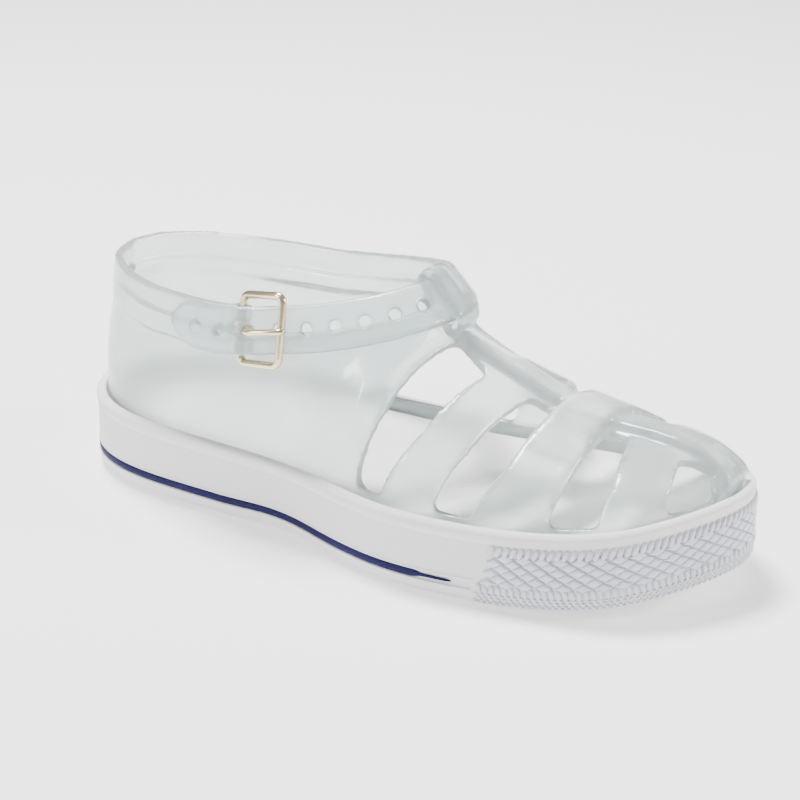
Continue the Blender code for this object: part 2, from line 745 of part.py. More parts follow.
def last(name, depth, low, high, collection):
    """The closed shape of the foot's last, at a depth under the upper's outer face."""
    samples = list(np.linspace(0, HOOP_ROWS - 1, HOOP_LINES))
    backs = np.linspace(0.0, len(COLLAR) - 1, COLLAR_LINES)[1:]
    samples += [HOOP_ROWS + back for back in backs]
    climbs = np.linspace(0, 1, CLIMB_STEPS) ** CLIMB_EASE
    rows = len(climbs) + 2
    points, faces = [], []
    for side in (-1, 1):
        for sample in samples:
            line = [upper_point(sample, climb, side, depth) for climb in climbs]
            bottom = np.array((line[0][0], line[0][1], cup_floor(line[0][0]) + low))
            crown = line[-1]
            if sample > HOOP_ROWS:
                crown = crown + collar_frame(sample - HOOP_ROWS, side)[2] * high
            points.extend([bottom] + line + [crown])
    count = len(samples)
    for i in range(count - 1):
        for side in (0, 1):
            for j in range(rows - 1):
                a = (side * count + i) * rows + j
                faces.append((a, a + rows, a + rows + 1, a + 1))
        for j in (0, rows - 1):
            a, b = i * rows + j, (count + i) * rows + j
            faces.append((a, a + rows, b + rows, b))
    return mesh_from(name, points, faces, collection)


def make_shell():
    """The wall of the upper: one last with a smaller one cut from it, open at the collar."""
    shell = last("upper", 0.0, GAP, 0.0, None)
    inside = last("foot_cutter", WALL, -CUP_DEPTH / 2, KEEPER_WALL, CUTTERS)
    return combine(shell, [inside], "DIFFERENCE")


def make_bar():
    """The raised bar along the middle of the foot, from the toe's rim to the keeper."""
    rings = []
    for sample in np.linspace(BAR_START, HOOP_ROWS - BAR_END, BAR_RINGS):
        here = ridge(sample)
        along = ridge(sample + 0.02) - ridge(sample - 0.02)
        up = unit(np.cross((0, 1, 0), along))
        half = BAR_WIDTH / 2 * (1 + FLARE * max(0.0, 1 - sample / FLARE_HOOP) ** 1.5)
        proud = BAR_PROUD * (1 - FADE * max(0.0, 1 - sample / FADE_HOOP) ** 2)
        ring = [here + np.array((0, across * half, 0)) + up * lift * proud
                for across, lift in BAR_SECTION]
        ring += [here + np.array((0, side * half, 0)) - up * BAR_SUNK * WALL for side in (1, -1)]
        rings.append(ring)
    return loft("bar_tool", rings, CUTTERS)


def share_between(row, climb, front):
    """The foot share of an opening's front or back edge at a climb above its middle."""
    middle, top, top_climb = (row[3], row[5], row[6]) if front else (row[4], row[7], row[8])
    return middle + (top - middle) * (climb - OPENING_MIDDLE) / (top_climb - OPENING_MIDDLE)


def make_saddle():
    """The middle strap's raised crossing over the bar."""
    rings = []
    for side, climb, lift in SADDLE:
        ahead, behind = (OPENINGS[k] for k in SADDLE_OPENINGS[side])
        front = share_between(ahead, climb, False) + SADDLE_EDGE
        back = share_between(behind, climb, True) - SADDLE_EDGE
        inset = SADDLE_ROUND * (back - front)
        section = ((front, SADDLE_EDGE_LIFT), (front + inset, SADDLE_ROUND_LIFT),
                   (front + 3 * inset, 1.0), (back - 3 * inset, 1.0),
                   (back - inset, SADDLE_ROUND_LIFT), (back, SADDLE_EDGE_LIFT))
        ring = []
        for share, height in section:
            sample = sample_at(share, side)
            point = upper_point(sample, climb, side)
            ring.append(point + upper_normal(sample, climb, side) * height * lift * SADDLE_PROUD)
        for share in (back, front):
            sample = sample_at(share, side)
            point = upper_point(sample, climb, side)
            ring.append(point - upper_normal(sample, climb, side) * SADDLE_SUNK * WALL)
        rings.append(ring)
    return loft("saddle_tool", rings, CUTTERS)


class AnkleLoop:
    """Distance along the ankle loop from the keeper: outer side positive, inner negative."""

    def __init__(self):
        self.rows = np.linspace(0, len(COLLAR) - 1, 200)
        self.walks = {}
        for side in (-1, 1):
            centres = np.array([collar_frame(row, side)[0] for row in self.rows])
            steps = np.linalg.norm(np.diff(centres, axis=0), axis=1)
            self.walks[side] = np.concatenate(([0.0], np.cumsum(steps)))
        self.outer_length = self.walks[-1][-1]

    def row(self, distance):
        side = -1 if distance >= 0 else 1
        return float(np.interp(abs(distance), self.walks[side], self.rows)), side

    def frame(self, distance):
        """Centre, outward and upward directions; past the heel it runs on along the other side."""
        total = self.walks[-1][-1] + self.walks[1][-1]
        if distance > self.outer_length:
            distance -= total
        if distance < -self.walks[1][-1]:
            distance += total
        row, side = self.row(distance)
        return collar_frame(row, side)

    def point(self, distance, up, out):
        centre, outwards, upwards = self.frame(distance)
        return centre + upwards * up + outwards * out


LOOP = AnkleLoop()


def band_ring(distance, width, thickness, out, ends=1.0):
    """Section of a flat band with rounded edges, on the ankle loop."""
    half, deep = width / 2 * ends, thickness / 2
    soft, flat = BAND_SOFT * thickness, BAND_FLAT * deep
    corners = ((-half, flat), (-half + soft, deep), (half - soft, deep), (half, flat),
               (half, -flat), (half - soft, -deep), (-half + soft, -deep), (-half, -flat))
    return [LOOP.point(distance, up, out + lift) for up, lift in corners]


BUCKLE_AT = FIRST_HOLE + BUCKLED_HOLE * HOLE_PITCH + PRONG_RUN - BUCKLE_LENGTH / 2
REAR_BAR = BUCKLE_AT + BUCKLE_LENGTH / 2
FRONT_BAR = BUCKLE_AT - BUCKLE_LENGTH / 2
STRAP_END = FIRST_HOLE + (BUCKLED_HOLE + SPARE_HOLES) * HOLE_PITCH + STRAP_TIP
SLEEVE_RADIUS = BUCKLE_WIRE / 2 + GAP + SLEEVE_WALL
STRAP_OVER_BAR = BUCKLE_WIRE / 2 + GAP + PRONG_WIRE + GAP + STRAP_THICKNESS / 2
STRAP_OVER_BAND = STRAP_THICKNESS + GAP
FRONT_BAR_OUT = STRAP_THICKNESS / 2 + 2 * GAP + BUCKLE_WIRE / 2


def make_band():
    """The collar band: from the keeper's inner mouth round the heel to the buckle's sleeve."""
    start = -(KEEPER_WIDTH / 2 - 4 * GAP)
    total = LOOP.walks[-1][-1] + LOOP.walks[1][-1]
    end = REAR_BAR + SLEEVE_RADIUS / 2 - total
    rings = [band_ring(d, STRAP_WIDTH, STRAP_THICKNESS, 0.0) for d in np.linspace(start, end, BAND_RINGS)]
    return loft("band_tool", rings, CUTTERS)


def bar_axis(up):
    """A point of the buckle's rear bar, straight through the loop's frame there."""
    return LOOP.point(REAR_BAR, up, 0.0)


def cylinder(name, start, end, radius, sides, collection=CUTTERS):
    """A round bar between two points, from a cone primitive with equal radii."""
    start, end = Vector(map(float, start)), Vector(map(float, end))
    axis = end - start
    bm = bmesh.new()
    bmesh.ops.create_cone(bm, cap_ends=True, segments=sides, radius1=radius, radius2=radius,
                          depth=axis.length)
    mesh = bpy.data.meshes.new(name)
    bm.to_mesh(mesh)
    bm.free()
    mesh.transform(axis.to_track_quat("Z", "Y").to_matrix().to_4x4())
    mesh.transform(Matrix.Translation((start + end) / 2))
    return add_object(name, mesh, collection)


def make_keeper():
    """The loop at the bar's top that the ankle strap runs through."""
    thick = STRAP_THICKNESS + 2 * KEEPER_CLEARANCE + 2 * KEEPER_WALL
    wide = STRAP_WIDTH + 2 * KEEPER_CLEARANCE + 2 * KEEPER_WALL
    places = np.linspace(-KEEPER_WIDTH / 2, KEEPER_WIDTH / 2, KEEPER_RINGS)
    return loft("keeper_tool", [band_ring(d, wide, thick, 0.0) for d in places], CUTTERS)


def keeper_slot():
    """The passage of the ankle strap through the keeper."""
    reach = KEEPER_WIDTH / 2 + 2 * KEEPER_CLEARANCE
    wide = STRAP_WIDTH + 2 * KEEPER_CLEARANCE
    thick = STRAP_THICKNESS + 2 * KEEPER_CLEARANCE
    rings = []
    for d in np.linspace(-reach, reach, KEEPER_RINGS):
        corners = ((-1, 1), (1, 1), (1, -1), (-1, -1))
        rings.append([LOOP.point(d, a * wide / 2, b * thick / 2) for a, b in corners])
    return loft("keeper_slot_cutter", rings, CUTTERS)


def make_upper():
    """The moulded upper: wall, straps, bar, saddle, keeper, collar band and buckle sleeve."""
    upper = make_shell()
    plugs = [opening_cutter(number, row) for number, row in enumerate(OPENINGS)]
    combine(upper, plugs, "DIFFERENCE")
    combine(upper, [make_bar(), make_saddle()], "UNION")
    combine(upper, [make_keeper()], "UNION")
    combine(upper, [keeper_slot()], "DIFFERENCE")
    half = STRAP_WIDTH / 2
    sleeve = cylinder("sleeve_tool", bar_axis(-half), bar_axis(half), SLEEVE_RADIUS, ROUND_SIDES)
    combine(upper, [make_band(), sleeve], "UNION")
    bore = cylinder("bore_cutter", bar_axis(-2 * half), bar_axis(2 * half),
                    BUCKLE_WIRE / 2 + GAP, ROUND_SIDES)
    slot_half = PRONG_SLOT / 2
    slot_rings = []
    ahead, behind = SLOT_SPAN
    for d in (REAR_BAR - ahead * SLEEVE_RADIUS, REAR_BAR + behind * SLEEVE_RADIUS):
        corners = ((-1, 1), (1, 1), (1, -1), (-1, -1))
        slot_rings.append([LOOP.point(d, a * slot_half, b * (SLEEVE_RADIUS + GAP))
                           for a, b in corners])
    combine(upper, [bore, loft("prong_slot_cutter", slot_rings, CUTTERS)], "DIFFERENCE")
    material(upper, "clear_moulded_plastic", (0.80, 0.87, 0.88), 0.15)
    return upper


def strap_out(distance):
    """How far the strap's middle stands out of the ankle loop: it climbs over the rear bar."""
    if distance < REAR_BAR:
        u = np.clip((distance - FRONT_BAR) / BUCKLE_LENGTH, 0, 1)
        return float(STRAP_OVER_BAR * u ** STRAP_CLIMB)
    u = np.clip((distance - REAR_BAR) / (STRAP_END - REAR_BAR), 0, 1)
    return float(STRAP_OVER_BAR + (STRAP_OVER_BAND - STRAP_OVER_BAR) * (3 * u * u - 2 * u ** 3))


def make_strap():
    """The free ankle strap: through the keeper, under the buckle's front bar, over the rear."""
    start = -(KEEPER_WIDTH / 2 - 5 * GAP)
    rings = []
    for d in np.linspace(start, STRAP_END, STRAP_RINGS):
        left = STRAP_END - d
        taper = math.sqrt(max(0.0, 1 - (1 - min(left / STRAP_TIP, 1.0)) ** 2)) if left > 0 else 0
        ends = max(taper, TIP_LEAST)
        rings.append(band_ring(d, STRAP_WIDTH, STRAP_THICKNESS, strap_out(d), ends))
    strap = loft("ankle_strap", rings)
    punches = []
    for k in range(BUCKLED_HOLE + SPARE_HOLES + 1):
        d = FIRST_HOLE + k * HOLE_PITCH
        out = strap_out(d)
        punches.append(cylinder(f"hole_cutter_{k}", LOOP.point(d, 0, out - STRAP_THICKNESS),
                                LOOP.point(d, 0, out + STRAP_THICKNESS), STRAP_HOLE / 2,
                                HOLE_SIDES))
    combine(strap, punches, "DIFFERENCE")
    material(strap, "clear_strap_plastic", (0.80, 0.87, 0.88), 0.15)
    return strap


def wire(name, points, diameter, cyclic):
    """A bent wire as a curve with a round bevel, made a closed mesh."""
    curve = bpy.data.curves.new(name, "CURVE")
    curve.dimensions = "3D"
    curve.bevel_depth = diameter / 2
    curve.bevel_resolution = WIRE_SIDES
    curve.use_fill_caps = not cyclic
    spline = curve.splines.new("POLY")
    spline.points.add(len(points) - 1)
    for target, point in zip(spline.points, points):
        target.co = (*map(float, point), 1.0)
    spline.use_cyclic_u = cyclic
    source = add_object(f"{name}_curve", curve, CUTTERS)
    bpy.context.view_layer.update()
    graph = bpy.context.evaluated_depsgraph_get()
    mesh = bpy.data.meshes.new_from_object(source.evaluated_get(graph))
    bm = bmesh.new()
    bm.from_mesh(mesh)
    bmesh.ops.remove_doubles(bm, verts=bm.verts, dist=1e-6)
    bmesh.ops.recalc_face_normals(bm, faces=bm.faces)
    bm.to_mesh(mesh)
    bm.free()
    bpy.data.objects.remove(source, do_unlink=True)
    mesh.name = name
    return add_object(name, mesh)


def make_buckle():
    """The wire frame, held at its rear bar, and the prong that turns on that bar."""
    half = BUCKLE_HEIGHT / 2
    corner = BUCKLE_WIRE
    points = []
    for centre_d, centre_up, first in ((FRONT_BAR + corner, half - corner, 90),
                                       (FRONT_BAR + corner, -half + corner, 180),
                                       (REAR_BAR - corner, -half + corner, 270),
                                       (REAR_BAR - corner, half - corner, 0)):
        for k in range(CORNER_POINTS):
            angle = math.radians(first + 90 * k / (CORNER_POINTS - 1))
            d = centre_d + corner * math.cos(angle)
            up = centre_up + corner * math.sin(angle)
            out = FRONT_BAR_OUT * (REAR_BAR - d) / BUCKLE_LENGTH
            if d > REAR_BAR - 1e-6:
                points.append(bar_axis(up))
            else:
                points.append(LOOP.point(d, up, out))
    frame = wire("buckle_frame", points, BUCKLE_WIRE, True)
    material(frame, "gold_metal", (0.80, 0.66, 0.36), 0.25, 1.0)
    ring = BUCKLE_WIRE / 2 + GAP + PRONG_WIRE / 2
    path = []
    for degrees in range(-150, 151, 30):
        angle = math.radians(degrees)
        path.append((REAR_BAR + ring * math.cos(angle), ring * math.sin(angle)))
    over = FRONT_BAR_OUT + BUCKLE_WIRE / 2 + GAP + PRONG_WIRE / 2
    heights = (PRONG_ROOT * ring, STRAP_OVER_BAR + PRONG_WIRE / 2, over + PRONG_WIRE / 2)
    path += [(REAR_BAR - run * PRONG_RUN, height) for run, height in zip(PRONG_RISES, heights)]
    path.append((FRONT_BAR, over))
    path.append((FRONT_BAR - PRONG_NOSE * BUCKLE_WIRE, over - GAP))
    prong = wire("buckle_prong", [LOOP.point(d, 0.0, out) for d, out in path], PRONG_WIRE, False)
    material(prong, "gold_metal_prong", (0.80, 0.66, 0.36), 0.25, 1.0)


def place_origin():
    """Move every part so that the origin is under the middle of the shoe's box."""
    xs, ys = [], []
    for item in PARTS.objects:
        for vertex in item.data.vertices:
            xs.append(vertex.co.x)
            ys.append(vertex.co.y)
    shift = Vector((-(min(xs) + max(xs)) / 2, -(min(ys) + max(ys)) / 2, 0.0))
    for item in PARTS.objects:
        item.data.transform(Matrix.Translation(shift))
        item.data.update()
    print("origin shift", tuple(round(v, 6) for v in shift))


def make_sandal():
    make_sole()
    make_insole()
    make_pinstripe()
    make_upper()
    make_strap()
    make_buckle()
    place_origin()
    for item in PARTS.objects:
        item.data.shade_smooth()
        item.data.set_sharp_from_angle(angle=math.radians(40))
    for item in CUTTERS.objects:
        item.hide_render = True
        item.display_type = "WIRE"


make_sandal()
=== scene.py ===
# Looks of a child's clear jelly sandal for the right foot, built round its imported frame.
# +X points to the toe, +Y to the inner side of the foot, +Z up. Units are metres.

import math

import bmesh
import bpy
import numpy as np
from mathutils import Matrix, Vector


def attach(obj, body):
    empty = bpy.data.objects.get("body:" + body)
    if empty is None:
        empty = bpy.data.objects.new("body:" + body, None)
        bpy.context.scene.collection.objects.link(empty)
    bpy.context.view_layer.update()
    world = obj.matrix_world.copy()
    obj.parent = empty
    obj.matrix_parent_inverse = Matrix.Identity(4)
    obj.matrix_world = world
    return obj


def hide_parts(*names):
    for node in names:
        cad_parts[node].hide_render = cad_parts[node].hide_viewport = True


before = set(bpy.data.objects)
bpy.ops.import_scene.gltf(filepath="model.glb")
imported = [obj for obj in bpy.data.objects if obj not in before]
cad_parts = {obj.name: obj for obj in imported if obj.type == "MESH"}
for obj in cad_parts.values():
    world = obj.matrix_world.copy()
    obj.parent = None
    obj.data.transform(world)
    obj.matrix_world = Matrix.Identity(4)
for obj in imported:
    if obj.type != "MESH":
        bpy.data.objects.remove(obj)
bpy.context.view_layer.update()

# Heel-tip coordinates to the frame's origin, which is under the middle of the shoe's box.
shift = np.array((-0.089306, 0.00147, 0.0))


# An object in the scene that holds the mesh or lamp.
def placed(name, data):
    item = bpy.data.objects.new(name, data)
    bpy.context.scene.collection.objects.link(item)
    return item


def unit(vector):
    v = np.array(vector, float)
    return v / np.linalg.norm(v)


# A point of the short arc that rounds a corner.
def arcPoint(start, corner, end, u):
    return (1 - u) ** 2 * start + 2 * u * (1 - u) * corner + u ** 2 * end


# A periodic cubic through the points, with centripetal spacing.
def closedSpline(points, count):
    p = np.array(points, float)
    n = len(p)
    h = np.sqrt(np.linalg.norm(np.roll(p, -1, 0) - p, axis=1))
    slope = (np.roll(p, -1, 0) - p) / h[:, None]
    before = np.roll(h, 1)
    matrix = np.zeros((n, n))
    for i in range(n):
        matrix[i, i - 1] += before[i]
        matrix[i, i] += 2 * (before[i] + h[i])
        matrix[i, (i + 1) % n] += h[i]
    bend = np.linalg.solve(matrix, 6 * (slope - np.roll(slope, 1, 0)))
    knots = np.concatenate(([0.0], np.cumsum(h)))
    out = []
    for t in np.linspace(0, knots[-1], count, endpoint=False):
        i = min(int(np.searchsorted(knots, t, side="right")) - 1, n - 1)
        j = (i + 1) % n
        a, b = (knots[i + 1] - t) / h[i], (t - knots[i]) / h[i]
        lift = ((a ** 3 - a) * bend[i] + (b ** 3 - b) * bend[j]) * h[i] ** 2 / 6
        out.append(a * p[i] + b * p[j] + lift)
    return np.array(out)


# Every column of a table between its rows, without overshoot.
def readTable(rows, sample):
    table = np.array(rows, float)
    last = len(table) - 1
    step = np.diff(table, axis=0)
    slope = np.zeros_like(table)
    for i in range(1, last):
        same = step[i - 1] * step[i] > 0
        both = np.where(same, step[i - 1] + step[i], 1.0)
        slope[i] = np.where(same, 2 * step[i - 1] * step[i] / both, 0.0)
    slope[0], slope[last] = step[0], step[-1]
    s = float(np.clip(sample, 0, last))
    i = min(int(s), last - 1)
    u = s - i
    return ((2 * u ** 3 - 3 * u ** 2 + 1) * table[i] + (u ** 3 - 2 * u ** 2 + u) * slope[i]
            + (3 * u ** 2 - 2 * u ** 3) * table[i + 1] + (u ** 3 - u ** 2) * slope[i + 1])


sole = {
    "length": 0.178, "width": 0.069, "rim": 0.0185, "heelLift": 0.0015,
    "spring": 0.0067, "springStart": 0.70, "arch": (0.30, 0.52, 0.0012),
    "rimWidth": 0.0018, "cupInset": 0.0030, "cupDepth": 0.0053,
    "bumper": 0.719, "slant": 0.030, "step": 0.0006, "toeTip": 0.090,
    "wallColumns": 380, "bumperColumns": 330, "outlinePoints": 1440, "fillet": 0.00035,
    "lipSoft": 0.0003, "lipHeights": (0.995, 0.97),
    "tread": (0.075, 0.125, 0.175, 0.225, 0.555, 0.605, 0.655, 0.705, 0.755, 0.805, 0.855, 0.905),
    "treadDepth": 0.0014, "treadWidth": 0.0030, "treadBorder": 0.0085,
}
# The upper's wall, how far it seats in the cup, and the gap that the pieces keep between them.
fit = {"wall": 0.0022, "seat": 0.0006, "gap": 0.0003}
# Outline of the sole: station as a share of the length, sides as shares of the ball's width.
outline = (
    (0.040, -0.240, 0.240), (0.130, -0.370, 0.370), (0.280, -0.400, 0.370),
    (0.440, -0.432, 0.375), (0.580, -0.515, 0.395), (0.700, -0.505, 0.450),
    (0.800, -0.455, 0.470), (0.890, -0.370, 0.425), (0.955, -0.200, 0.320),
)


# The sole's outline by share: 0 at the heel, 0.5 at the toe, outer side first.
class Edge:
    def __init__(self):
        outer = [(s, o) for s, o, i in outline]
        inner = [(s, i) for s, o, i in reversed(outline)]
        loop = [(0.0, 0.0)] + outer + [(1.0, sole["toeTip"])] + inner
        corners = [(s * sole["length"], w * sole["width"]) for s, w in loop]
        points = closedSpline(corners, sole["outlinePoints"])
        points = np.vstack((points, points[:1]))
        along = np.gradient(points, axis=0)
        along[0] = along[-1] = along[0] + along[-1]
        along /= np.linalg.norm(along, axis=1)[:, None]
        toe = int(np.argmax(points[:, 0]))
        walk = np.concatenate(([0.0], np.cumsum(np.linalg.norm(np.diff(points, axis=0), axis=1))))
        self.share = np.where(np.arange(len(points)) <= toe, 0.5 * walk / walk[toe],
                              0.5 + 0.5 * (walk - walk[toe]) / (walk[-1] - walk[toe]))
        self.points = points
        self.normals = np.column_stack((along[:, 1], -along[:, 0]))
        self.toe = toe
        self.length = walk[-1]

    def at(self, share, inset):
        t = np.mod(share, 1.0)
        x = np.interp(t, self.share, self.points[:, 0] - self.normals[:, 0] * inset)
        y = np.interp(t, self.share, self.points[:, 1] - self.normals[:, 1] * inset)
        return np.array((x, y))

    def outward(self, share):
        t = np.mod(share, 1.0)
        return unit((np.interp(t, self.share, self.normals[:, 0]),
                     np.interp(t, self.share, self.normals[:, 1]), 0.0))

    def outer(self, x):
        return float(np.interp(x, self.points[:self.toe, 0], self.share[:self.toe]))

    def inner(self, x):
        back = slice(None, self.toe, -1)
        return float(np.interp(x, self.points[back, 0], self.share[back]))


edge = Edge()


def springAt(x):
    start = sole["springStart"]
    return sole["spring"] * np.clip((x / sole["length"] - start) / (1 - start), 0, 1) ** 2


def undersideAt(x):
    start, end, rise = sole["arch"]
    s = np.clip((x / sole["length"] - start) / (end - start), 0, 1)
    return springAt(x) + rise * np.sin(math.pi * s) ** 2


def rimAt(x):
    lift = sole["heelLift"] * np.clip(1 - 2 * x / sole["length"], 0, 1) ** 2
    return sole["rim"] + lift + springAt(x)


def floorAt(x):
    return rimAt(x) - sole["cupDepth"]


# A closed mesh with its faces out, in the frame's coordinates.
def addMesh(name, points, faces, cutter=False):
    bm = bmesh.new()
    vertices = [bm.verts.new(tuple(np.array(p, float) + shift)) for p in points]
    for face in faces:
        if len(set(face)) > 2:
            bm.faces.new([vertices[i] for i in face])
    bmesh.ops.remove_doubles(bm, verts=bm.verts, dist=1e-6)
    bmesh.ops.dissolve_degenerate(bm, edges=bm.edges, dist=1e-7)
    bmesh.ops.recalc_face_normals(bm, faces=bm.faces)
    if cutter:
        bmesh.ops.triangulate(bm, faces=bm.faces)
    mesh = bpy.data.meshes.new(name)
    bm.to_mesh(mesh)
    bm.free()
    return placed(name, mesh)


# The object with its modifiers made part of its mesh.
def applied(item):
    bpy.context.view_layer.update()
    graph = bpy.context.evaluated_depsgraph_get()
    mesh = bpy.data.meshes.new_from_object(item.evaluated_get(graph))
    item.modifiers.clear()
    item.data = mesh
    mesh.name = item.name
    return item


# Cut the tools from the item or join them to it one by one, and remove the tools.
def combine(item, tools, operation):
    for tool in tools:
        modifier = item.modifiers.new("combine", "BOOLEAN")
        modifier.operation = operation
        modifier.object = tool
        modifier.solver = "MANIFOLD"
        applied(item)
        bpy.data.objects.remove(tool, do_unlink=True)
        bm = bmesh.new()
        bm.from_mesh(item.data)
        bmesh.ops.remove_doubles(bm, verts=bm.verts, dist=5e-6)
        bmesh.ops.dissolve_degenerate(bm, edges=bm.edges, dist=5e-6)
        bmesh.ops.triangulate(bm, faces=bm.faces)
        bm.to_mesh(item.data)
        bm.free()
    return item


# Faces between rings that have the same number of points.
def ringFaces(rings, count):
    return [(r * count + i, r * count + (i + 1) % count, (r + 1) * count + (i + 1) % count,
             (r + 1) * count + i) for r in range(rings - 1) for i in range(count)]


def loft(name, rings, cutter=False):
    count = len(rings[0])
    points = [p for ring in rings for p in ring]
    faces = ringFaces(len(rings), count)
    faces.append(tuple(range(count)))
    faces.append(tuple(range((len(rings) - 1) * count, len(rings) * count)))
    return addMesh(name, points, faces, cutter)


# The rounded edges of a moulded piece: an even skin of small faces, then smoothed.
def soften(item, voxel, repeats):
    remesh = item.modifiers.new("skin", "REMESH")
    remesh.mode = "VOXEL"
    remesh.voxel_size = voxel
    smooth = item.modifiers.new("smooth", "SMOOTH")
    smooth.factor = 0.5
    smooth.iterations = repeats
    return applied(item)


# How far round each point the surface is averaged, the turn where an edge begins and its gain, for painted
# edge shade.
edgeShadeMark = {"spread": 7, "start": 0.12, "gain": 2.0}


# How sharply the surface turns at each point, 0 on a wall's face and 1 on its edges: where shade is painted
# on.
def markEdgeShade(item):
    mesh = item.data
    count = len(mesh.vertices)
    normals = np.empty(count * 3, np.float32)
    mesh.vertices.foreach_get("normal", normals)
    normals = normals.reshape(-1, 3).astype(float)
    ends = np.empty(len(mesh.edges) * 2, np.int32)
    mesh.edges.foreach_get("vertices", ends)
    a, b = ends.reshape(-1, 2).T
    near = normals.copy()
    for _ in range(edgeShadeMark["spread"]):
        total = near.copy()
        np.add.at(total, a, near[b])
        np.add.at(total, b, near[a])
        near = total / np.maximum(np.linalg.norm(total, axis=1)[:, None], 1e-9)
    turn = np.linalg.norm(normals - near, axis=1)
    values = np.clip((turn - edgeShadeMark["start"]) * edgeShadeMark["gain"], 0, 1).astype(np.float32)
    # Stored as the edge attribute, which the clear plastic reads to paint darker shade along the edges.
    attribute = mesh.attributes.new("edge", "FLOAT", "POINT")
    attribute.data.foreach_set("value", values)


# The piece with one finish, in place of the slots that cuts and joins have left.
def dressed(item, material):
    item.data.materials.clear()
    item.data.materials.append(material)
    return item


# Make a finished piece part of the shoe.
def keep(item, slot, *nodes):
    item.data.shade_smooth()
    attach(item, "root")
    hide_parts(*nodes)
    faces = sum(len(p.vertices) - 2 for p in item.data.polygons)
    print("piece", item.name, "triangles", faces, flush=True)


# Materials

def socketGroup(name, inputs, outputs):
    group = bpy.data.node_groups.new(name, "ShaderNodeTree")
    for label, kind, value in inputs:
        socket = group.interface.new_socket(label, in_out="INPUT", socket_type=kind)
        if value is not None:
            socket.default_value = value
    for label, kind in outputs:
        group.interface.new_socket(label, in_out="OUTPUT", socket_type=kind)
    return group, group.nodes.new("NodeGroupInput"), group.nodes.new("NodeGroupOutput")


# Soft waves and fine grain of a moulded surface, as a height and a mask.
def makeMouldedSurface():
    group, given, made = socketGroup(
        "mouldedSurface",
        (("Wave Scale", "NodeSocketFloat", 90.0), ("Grain Scale", "NodeSocketFloat", 1800.0),
         ("Grain Share", "NodeSocketFloat", 0.15)),
        (("Height", "NodeSocketFloat"), ("Mask", "NodeSocketFloat")))
    place = group.nodes.new("ShaderNodeTexCoord")
    wave = group.nodes.new("ShaderNodeTexNoise")
    wave.inputs["Detail"].default_value = 2.0
    grain = group.nodes.new("ShaderNodeTexNoise")
    grain.inputs["Detail"].default_value = 1.0
    mix = group.nodes.new("ShaderNodeMath")
    mix.operation = "MULTIPLY_ADD"
    link = group.links.new
    link(place.outputs["Object"], wave.inputs["Vector"])
    link(place.outputs["Object"], grain.inputs["Vector"])
    link(given.outputs["Wave Scale"], wave.inputs["Scale"])
    link(given.outputs["Grain Scale"], grain.inputs["Scale"])
    link(grain.outputs["Fac"], mix.inputs[0])
    link(given.outputs["Grain Share"], mix.inputs[1])
    link(wave.outputs["Fac"], mix.inputs[2])
    link(mix.outputs[0], made.inputs["Height"])
    link(wave.outputs["Fac"], made.inputs["Mask"])
    return group


surfaceGroup = makeMouldedSurface()


# A Principled material whose colour and relief vary with the moulded surface, plus painted shade at sharp
# edges if tinted.
def finish(name, low, high, roughness, bump, waves=90.0, grain=1800.0, share=0.15, edgeTint=None, **sockets):
    made = bpy.data.materials.new(name)
    made.use_nodes = True
    tree = made.node_tree
    shader = tree.nodes["Principled BSDF"]
    surface = tree.nodes.new("ShaderNodeGroup")
    surface.node_tree = surfaceGroup
    surface.inputs["Wave Scale"].default_value = waves
    surface.inputs["Grain Scale"].default_value = grain
    surface.inputs["Grain Share"].default_value = share
    ramp = tree.nodes.new("ShaderNodeValToRGB")
    ramp.color_ramp.elements[0].position, ramp.color_ramp.elements[1].position = 0.35, 0.65
    ramp.color_ramp.elements[0].color = (*low, 1.0)
    ramp.color_ramp.elements[1].color = (*high, 1.0)
    relief = tree.nodes.new("ShaderNodeBump")
    relief.inputs["Strength"].default_value = 0.6
    relief.inputs["Distance"].default_value = bump
    tree.links.new(surface.outputs["Mask"], ramp.inputs["Fac"])
    tree.links.new(ramp.outputs["Color"], shader.inputs["Base Color"])
    # Painted shade: the colour turns towards the dark tint where the edge mask is high.
    if edgeTint:
        edges = tree.nodes.new("ShaderNodeAttribute")
        edges.attribute_name = "edge"
        tint = tree.nodes.new("ShaderNodeMix")
        tint.data_type = "RGBA"
        tint.inputs["B"].default_value = (*edgeTint, 1.0)
        tree.links.new(edges.outputs["Fac"], tint.inputs["Factor"])
        tree.links.new(ramp.outputs["Color"], tint.inputs["A"])
        tree.links.new(tint.outputs["Result"], shader.inputs["Base Color"])
    tree.links.new(surface.outputs["Height"], relief.inputs["Height"])
    tree.links.new(relief.outputs["Normal"], shader.inputs["Normal"])
    shader.inputs["Roughness"].default_value = roughness
    for label, value in sockets.items():
        shader.inputs[label.replace("_", " ")].default_value = value
    return made


